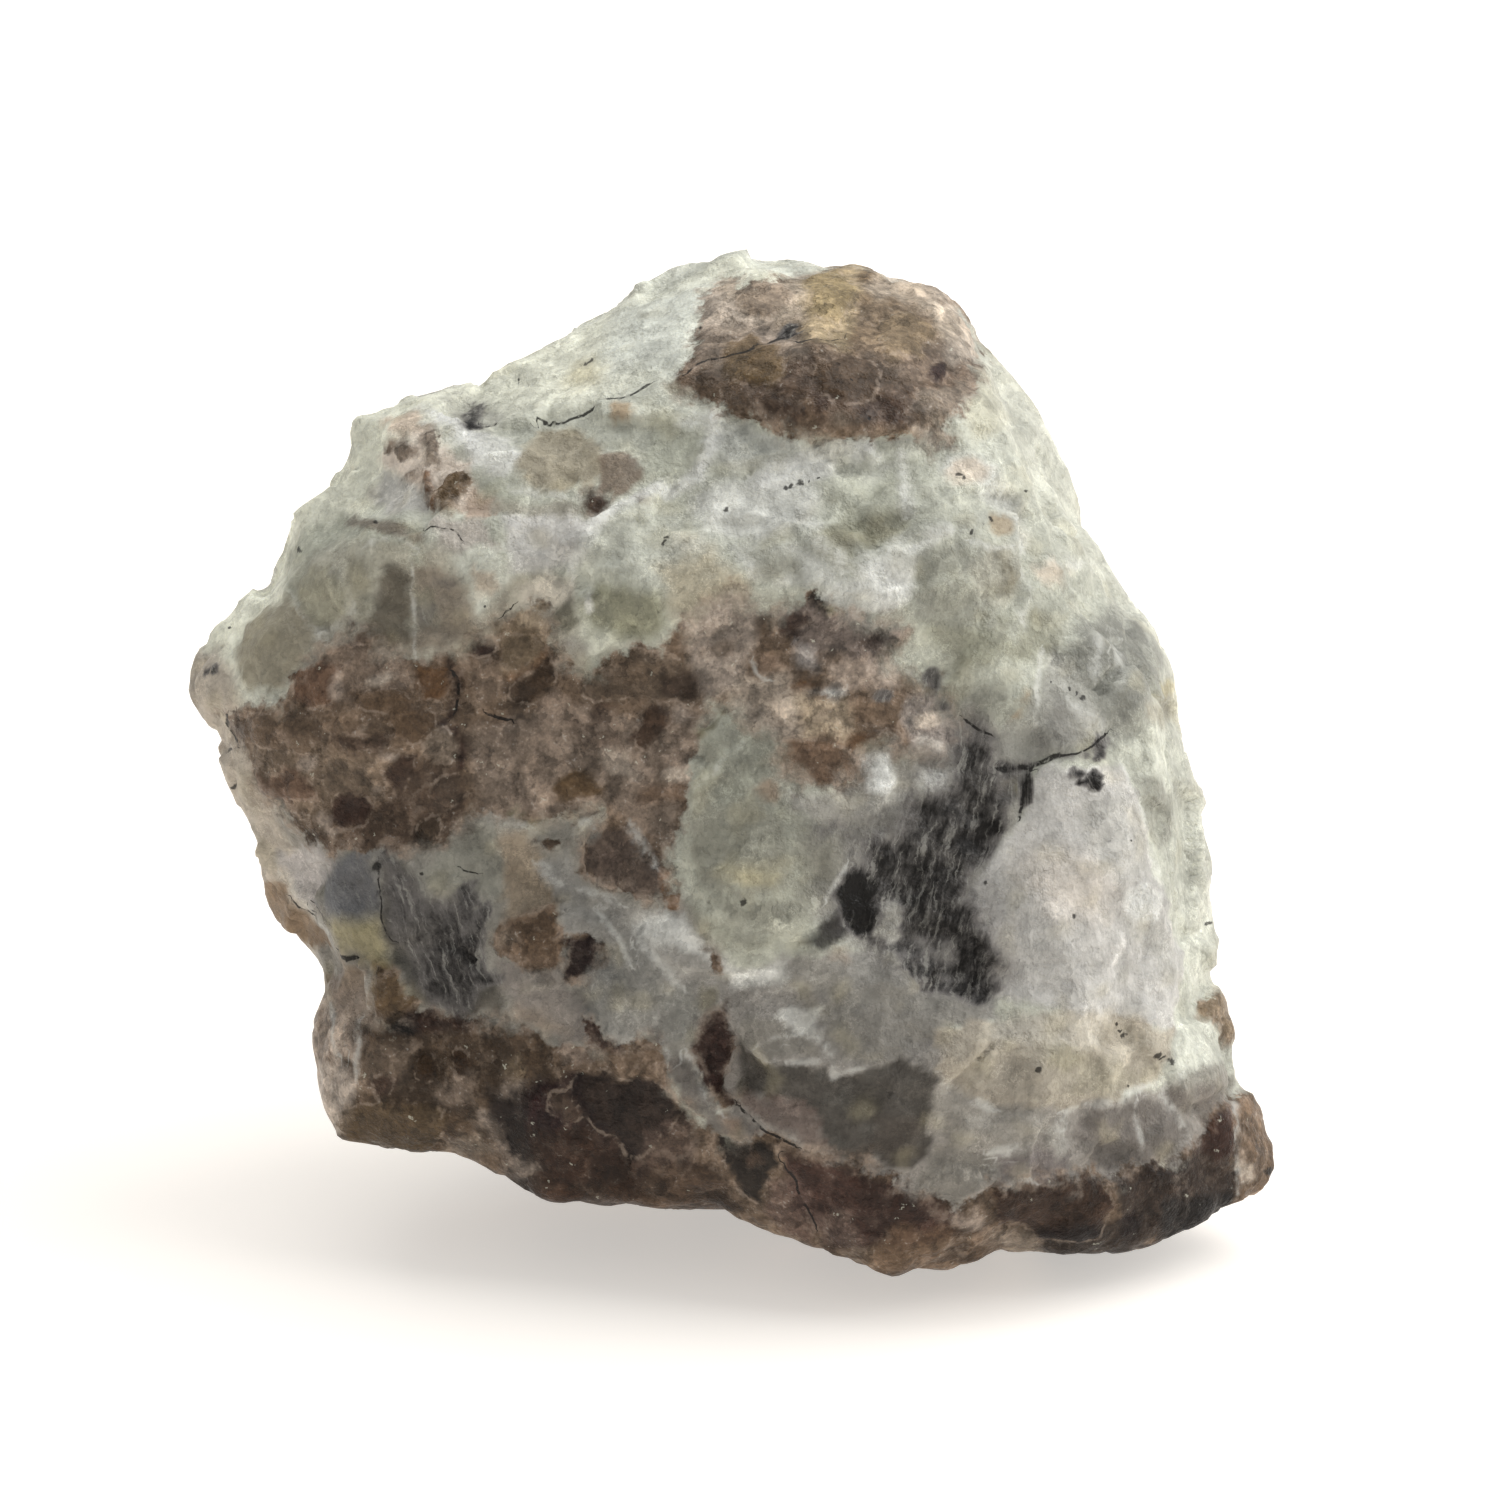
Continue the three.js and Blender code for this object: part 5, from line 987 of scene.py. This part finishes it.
veil = 0.5 + 0.9 * noise_at(1.5, 45, 2) - 0.25 * smooth_slab
mingled = area((-2, 6.8), (2, 7), (7, 6), (8.8, 3), (8.8, 0), (5, -1.4), (2, -1.2), (0, 1.6), (-2, 4.6))
veil += 0.6 * smooth_step(mingled / 1.2 + 0.5) * front + 0.3 * turned
chip_tone = 0.5 + (chip_tone - 0.5) * (1 - 0.6 * smooth_slab)
streaky = np.zeros(len(u))
for amount, shape, soft in (
        (0.9, area((6, -1), (10, 0.6), (11, -2), (9.4, -3.4), (9.2, -5.4), (10.4, -8), (9.6, -9.2), (5, -7),
                   (3.8, -5), (4.6, -3.4)), 0.8),
        (0.35, area((-13.6, -3.2), (-11.6, -5.2), (-9, -4.8), (-8.8, -8.6), (-9.8, -9.8), (-12.4, -9.4)),
            0.6),
        (0.5, area((-15.8, -3.4), (-13.6, -3.4), (-13.4, -5.8), (-15.4, -6)), 0.5),
        (0.26, area((12, -0.6), (15.4, -1), (16.2, -4.6), (17.4, -8), (12, -8.6), (10.4, -6), (11.6, -3)),
            0.8),
        (0.4, area((0.2, -11), (7.8, -11.8), (7.8, -15), (4.4, -15), (0.2, -12.8)), 0.5),
        (0.5, area((-5.6, -8.4), (-3.8, -6.8), (-2.6, -8.6), (-2.6, -10.4), (-5, -10)), 0.5),
        (0.5, area((6.8, 9.3), (7.6, 10.6), (9, 10.6), (9, 9.2)), 0.4),
        (0.35, area((10.6, 0.4), (15.2, 1), (16, 4), (13.2, 5.2), (11.6, 3.4)), 0.8)):
    cover = smooth_step(shape / soft + 0.5) * front
    streaky += (amount - streaky) * cover
streaky = np.maximum(streaky, 0.16 + 0.2 * smooth_step(0.5 + noise_at(3, 31) * 1.6))
keep_colours("tint", pale)
keep_colours("smoky", smoky)
for name, values in (
        ("brown", brown), ("ink", ink), ("outline", outline), ("streaky", streaky), ("veil", veil),
        ("fleck_gap", fleck_gap), ("seam", seam), ("seam_gap", seam_gap), ("vein_and_glint", vein_and_glint),
        ("vein_and_glint_gap", vein_and_glint_gap), ("grain_tone", grain_tone), ("grain_rim", grain_rim),
        ("chip_tone", chip_tone), ("chip_rim", chip_rim)):
    keep_values(name, values)

# Its one finish. The two minerals meet on a sharp ragged line; each is clouded, gritty and broken
# into small chips, with white veins, black seams and slickened dark streaks laid over them.
crust = bpy.data.materials.new("stone_crust")
crust.use_nodes = True
tree = crust.node_tree
skin_shader = tree.nodes["Principled BSDF"]


def feed(socket, value):
    if isinstance(value, bpy.types.NodeSocket):
        tree.links.new(value, socket)
    elif value is not None:
        socket.default_value = value


def add(kind, *values, **settings):
    made = tree.nodes.new("ShaderNode" + kind)
    for name, value in settings.items():
        setattr(made, name, value)
    for socket, value in zip(made.inputs, values):
        feed(socket, value)
    return made


def work(operation, *values):
    return add("Math", *values, operation=operation).outputs[0]


def times(a, b):
    return work("MULTIPLY", a, b)


def plus(a, b):
    return work("ADD", a, b)


def rise(value, low, high, start=0.0, stop=1.0):
    return add("MapRange", value, low, high, start, stop, interpolation_type="SMOOTHSTEP").outputs[0]


def kept_value(name):
    return add("Attribute", attribute_name=name).outputs["Fac"]


def kept_colour(name):
    return add("Attribute", attribute_name=name).outputs["Color"]


def blend(below, above, cover):
    mixed = add("Mix", data_type="RGBA")
    feed(mixed.inputs[0], cover)
    feed(mixed.inputs[6], below)
    feed(mixed.inputs[7], above)
    return mixed.outputs[2]


def shade_by(colour, amount):
    return add("VectorMath", colour, None, None, amount, operation="SCALE").outputs[0]


def rgba(shade):
    return (*pigment(shade), 1)


in_mm = add("VectorMath", add("TexCoord").outputs["Object"], None, None, 1000, operation="SCALE").outputs[0]


def cloudy(scale, detail=2.0, rough=0.5, at=in_mm, give="Fac"):
    made = add("TexNoise", at)
    made.inputs["Scale"].default_value = scale
    made.inputs["Detail"].default_value = detail
    made.inputs["Roughness"].default_value = rough
    return made.outputs[give]


def moved(by, at=in_mm):
    return add("VectorMath", at, (by, 2.7 * by, -1.3 * by), operation="ADD").outputs[0]


def mosaic(scale, feature="F1", at=in_mm):
    made = add("TexVoronoi", feature=feature)
    feed(made.inputs["Vector"], at)
    made.inputs["Scale"].default_value = scale
    return made


def one_channel(colour, channel):
    return add("SeparateColor", colour).outputs[channel]


fine = cloudy(2.4, 3, 0.62)
grit = cloudy(7, 1, 0.6, moved(3))
murk = cloudy(1.35, 3, 0.66, moved(9))
crazing = cloudy(0.85, 5, 0.66, moved(5))
warped = add("CombineXYZ", times(fine, 1.1), times(crazing, 1.6), times(murk, 1.3)).outputs[0]
warped = add("VectorMath", in_mm, warped, operation="ADD").outputs[0]
small_chip = mosaic(1.9, at=warped)
small_tone = one_channel(small_chip.outputs["Color"], 1)
veiled = kept_value("veil")

# feldspar
milk = shade_by(kept_colour("tint"), times(rise(kept_value("chip_tone"), 0, 1, 0.86, 1.08), rise(fine, 0.3,
    0.7, 0.9, 1.08)))
milk = shade_by(milk, times(rise(grit, 0.25, 0.75, 0.97, 1.03), rise(small_tone, 0, 1, 0.9, 1.08)))
torn_rim = plus(kept_value("chip_rim"), times(plus(fine, -0.5), 1.1))
frosted_rim = times(rise(torn_rim, 0.24, -0.06), rise(veiled, 0.3, 0.8, 0.04, 0.42))
feather = times(rise(work("ABSOLUTE", plus(crazing, -0.5)), 0.02, 0.0), rise(veiled, 0.35, 0.9, 0.05, 0.34))
feather = plus(feather, times(rise(work("ABSOLUTE", plus(fine, -0.52)), 0.02, 0.0), rise(veiled, 0.3, 0.9,
    0.04, 0.2)))
milky = times(rise(crazing, 0.53, 0.58), 0.12)
clearer = times(rise(crazing, 0.45, 0.41), -0.12)
milk = shade_by(milk, plus(0.975, plus(plus(frosted_rim, feather), plus(milky, clearer))))

# quartz
in_grain = rise(kept_value("outline"), -0.05, 0.25)
tone = plus(1, times(plus(kept_value("grain_tone"), -0.5), rise(in_grain, 0, 1, 0.6, 0.2)))
smoke = shade_by(kept_colour("smoky"), times(tone, rise(small_tone, 0, 1, 0.76, 1.16)))
smoke = shade_by(smoke, times(rise(fine, 0.28, 0.72, 0.76, 1.2), rise(grit, 0.25, 0.75, 0.86, 1.14)))
joint = times(rise(kept_value("grain_rim"), 0.22, 0.02), rise(fine, 0.44, 0.6, 0, 0.4))
outside = times(rise(in_grain, 0, 1, 1, 0.3), rise(one_channel(kept_colour("smoky"), 1), 0.01, 0.09, 0.25, 1))
clouded = times(rise(murk, 0.5, 0.72), outside)
smoke = shade_by(smoke, plus(plus(0.94, times(clouded, 0.5)), rise(murk, 0.48, 0.34, 0, -0.3)))
smoke = blend(smoke, rgba(BLUSH), plus(times(times(joint, outside), 0.5), times(clouded, 0.14)))
smoke = blend(smoke, rgba(FROST), times(times(rise(grit, 0.6, 0.74), rise(murk, 0.5, 0.62, 0, 0.3)), outside))

ragged = plus(kept_value("brown"), times(plus(cloudy(1.5, 4, 0.66, moved(13)), -0.5), 1.5))
blur = rise(veiled, 0.2, 1.3, 0.14, 0.95)
is_brown = rise(work("DIVIDE", ragged, blur), -1, 1)
colour = blend(milk, smoke, is_brown)
meeting = rise(work("ABSOLUTE", ragged), 0.12, 0.0)
mist = times(rise(work("ABSOLUTE", plus(ragged, -0.1)), 0.6, 0.0), rise(murk, 0.44, 0.62, 0.0, 0.28))
colour = blend(colour, rgba(BLUSH), mist)
colour = blend(colour, rgba(BARK), times(meeting, rise(crazing, 0.52, 0.6, 0, 0.25)))
colour = blend(colour, rgba(CHALK), times(meeting, rise(crazing, 0.46, 0.38, 0, 0.08)))
rimmed = rise(work("ABSOLUTE", plus(kept_value("outline"), times(plus(fine, -0.5), 0.3))), 0.1, 0.02)
colour = blend(colour, rgba(BLUSH), times(rimmed, rise(murk, 0.44, 0.6, 0, 0.3)))

# the slickened dark streaks: long thin threads lying in the face, steep one way in the big patch
# and the other way elsewhere
level = add("VectorMath", in_mm, tuple(ACROSS), operation="DOT_PRODUCT").outputs["Value"]
risen = add("VectorMath", in_mm, tuple(UPWARD), operation="DOT_PRODUCT").outputs["Value"]
deep = add("VectorMath", in_mm, tuple(OUTWARD), operation="DOT_PRODUCT").outputs["Value"]
in_patch = times(rise(level, 3.2, 3.6), rise(level, 11.6, 10.6))
lean = plus(-0.3, times(in_patch, rise(risen, -6.2, -3.4, -0.35, 0.55)))
sidestep = times(plus(level, times(times(risen, lean), -1)), 5.4)
bending = plus(sidestep, times(plus(crazing, -0.5), 5))
lain = add("CombineXYZ", bending, times(risen, 0.7), times(deep, 1.2)).outputs[0]
thread = cloudy(1.0, 3, 0.68, lain)
colour = shade_by(colour, plus(1, times(times(kept_value("streaky"), 1.35), plus(thread, -0.5))))
dark = kept_value("ink")
colour = blend(colour, rgba("#656260"), rise(dark, 0.0, 0.5, 0, 0.88))
smudge = plus(dark, plus(times(plus(thread, -0.5), -0.95), times(plus(fine, -0.5), -0.75)))
cover = times(rise(smudge, 0.25, 1.0), rise(dark, 0.02, 0.25))
colour = blend(colour, rgba(SOOT), cover)
glint_thread = times(rise(thread, 0.54, 0.66), rise(dark, 0.08, 0.3, 0, 0.36))
colour = blend(colour, rgba(MIST), times(glint_thread, rise(dark, 1.05, 0.6, 0.15, 1)))

# veins, seams and flecks, and painted glints: one drawn among the vein lines, and small pale specks of
# reflected light scattered mostly over the quartz
torn = plus(plus(times(fine, 0.7), times(crazing, 0.5)), -0.6)
# the white vein lines, and the one painted glint drawn among them
vein_and_glint_line = rise(work("ABSOLUTE", plus(kept_value("vein_and_glint"), times(torn, 4.5))), 3.2, 0.0)
near_vein_and_glint = times(rise(kept_value("vein_and_glint_gap"), 0.55, 0.25), rise(crazing, 0.42, 0.6, 0.05, 0.42))
colour = blend(colour, rgba(CHALK), times(vein_and_glint_line, near_vein_and_glint))
seam_line = rise(work("ABSOLUTE", plus(kept_value("seam"), times(torn, 3))), 1.25, 0.6)
near_seam = times(rise(kept_value("seam_gap"), 0.36, 0.28), rise(fine, 0.38, 0.5, 0.2, 1))
seam_line = times(seam_line, near_seam)
colour = blend(colour, rgba(SOOT), times(seam_line, 0.92))

to_fleck = add("Attribute", attribute_name="to_fleck").outputs["Vector"]
from_fleck = add("VectorMath", to_fleck, operation="LENGTH").outputs["Value"]
fleck = times(rise(plus(from_fleck, times(plus(grit, -0.5), 1.6)), 1.4, 0.6), rise(kept_value("fleck_gap"),
    0.4, 0.3))
colour = blend(colour, rgba(SOOT), times(fleck, 0.85))
# painted glints: the middles of a few small chips are lightened to stand in for sparkles of reflected light
chip_heart = rise(small_chip.outputs["Distance"], 0.16, 0.07)
painted_glint = times(chip_heart, rise(one_channel(small_chip.outputs["Color"], 2), 0.76, 0.8))
colour = blend(colour, rgba(CREAM), times(painted_glint, rise(is_brown, 0, 1, 0.06, 0.4)))
feed(skin_shader.inputs["Base Color"], colour)

# gloss and tooth
polish = plus(rise(fine, 0.3, 0.7, 0.6, 0.42), times(is_brown, -0.08))
feed(skin_shader.inputs["Roughness"], plus(polish, times(cover, -0.06)))


def tilt(facet, height):
    arm = add("VectorMath", warped, facet.outputs["Position"], operation="SUBTRACT").outputs[0]
    slope = add("VectorMath", facet.outputs["Color"], (0.5, 0.5, 0.5), operation="SUBTRACT").outputs[0]
    return times(add("VectorMath", arm, slope, operation="DOT_PRODUCT").outputs["Value"], height)


tooth = times(tilt(small_chip, 0.36), rise(kept_value("brown"), -0.1, 0.1, 0.7, 1))
tooth = plus(tooth, plus(times(fine, 0.1), times(grit, 0.03)))
bump = add("Bump")
bump.inputs["Strength"].default_value = 1.0
bump.inputs["Distance"].default_value = MM
feed(bump.inputs["Height"], tooth)
feed(skin_shader.inputs["Normal"], bump.outputs["Normal"])
skin_shader.inputs["Subsurface Weight"].default_value = 0.1
skin_shader.inputs["Subsurface Radius"].default_value = (1.0, 0.9, 0.7)
skin_shader.inputs["Subsurface Scale"].default_value = 0.7 * MM
skin_shader.inputs["Specular IOR Level"].default_value = 0.18
stone.data.materials.clear()
stone.data.materials.append(crust)
stone.name = "stone_skin"
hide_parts("stone")
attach(stone, "root")

# The table: one sheet of pale paper, matt and a little warm. It is far larger than the stone and so
# brightly lit that its edge is lost.
TABLE_SIZE = 8
table_mesh = bpy.data.meshes.new("table")
sheet = bmesh.new()
bmesh.ops.create_grid(sheet, x_segments=1, y_segments=1, size=TABLE_SIZE / 2)
sheet.to_mesh(table_mesh)
sheet.free()
table = bpy.data.objects.new("table", table_mesh)
bpy.context.scene.collection.objects.link(table)
paper = bpy.data.materials.new("paper")
paper.use_nodes = True
paper_face = paper.node_tree.nodes["Principled BSDF"]
paper_face.inputs["Base Color"].default_value = (0.77, 0.73, 0.68, 1)
paper_face.inputs["Roughness"].default_value = 0.9
paper_face.inputs["Specular IOR Level"].default_value = 0.1
paper_face.inputs["Emission Color"].default_value = (1, 0.97, 0.93, 1)
paper_face.inputs["Emission Strength"].default_value = 0.47
table.data.materials.append(paper)

# The light: a white tent, even from all round, with two wide soft panels. One stands high at the right
# and the other hangs above and behind, so the shadow falls a little forward and to the left.
world = bpy.data.worlds.new("tent")
world.use_nodes = True
world.node_tree.nodes["Background"].inputs["Color"].default_value = (1, 1, 1, 1)
world.node_tree.nodes["Background"].inputs["Strength"].default_value = 0.47
bpy.context.scene.world = world


def panel(name, place, size, power, aim):
    lamp = bpy.data.lights.new(name, "AREA")
    lamp.shape = "RECTANGLE"
    lamp.size, lamp.size_y = size
    lamp.energy = power
    holder = bpy.data.objects.new(name, lamp)
    holder.location = place
    holder.rotation_euler = (Vector(aim) - Vector(place)).to_track_quat("-Z", "Y").to_euler()
    bpy.context.scene.collection.objects.link(holder)


panel("key_panel", (0.35, 0.05, 0.33), (0.45, 0.45), 2.0, (0, 0, 0.018))
panel("top_panel", (0, 0.17, 0.44), (0.5, 0.5), 0.95, (0, 0, 0.01))

# The camera: a long lens that looks squarely at the stone's front face from a little above, with the
# stone slightly left of the middle and below it.
FRAME_WIDTH = 57.9
AIM_RIGHT = 0.733
AIM_UP = 0.579
view = bpy.data.cameras.new("camera")
view.sensor_width = 36
view.lens = 36 * VIEW_DISTANCE / FRAME_WIDTH
view.clip_start = 0.01
aim = FACE_MIDDLE + AIM_RIGHT * ACROSS + AIM_UP * UPWARD
camera = bpy.data.objects.new("camera", view)
camera.location = Vector((aim + VIEW_DISTANCE * OUTWARD) * MM)
camera.rotation_euler = Vector(-OUTWARD).to_track_quat("-Z", "Y").to_euler()
bpy.context.scene.collection.objects.link(camera)
bpy.context.scene.camera = camera
bpy.context.scene.view_settings.view_transform = "Standard"
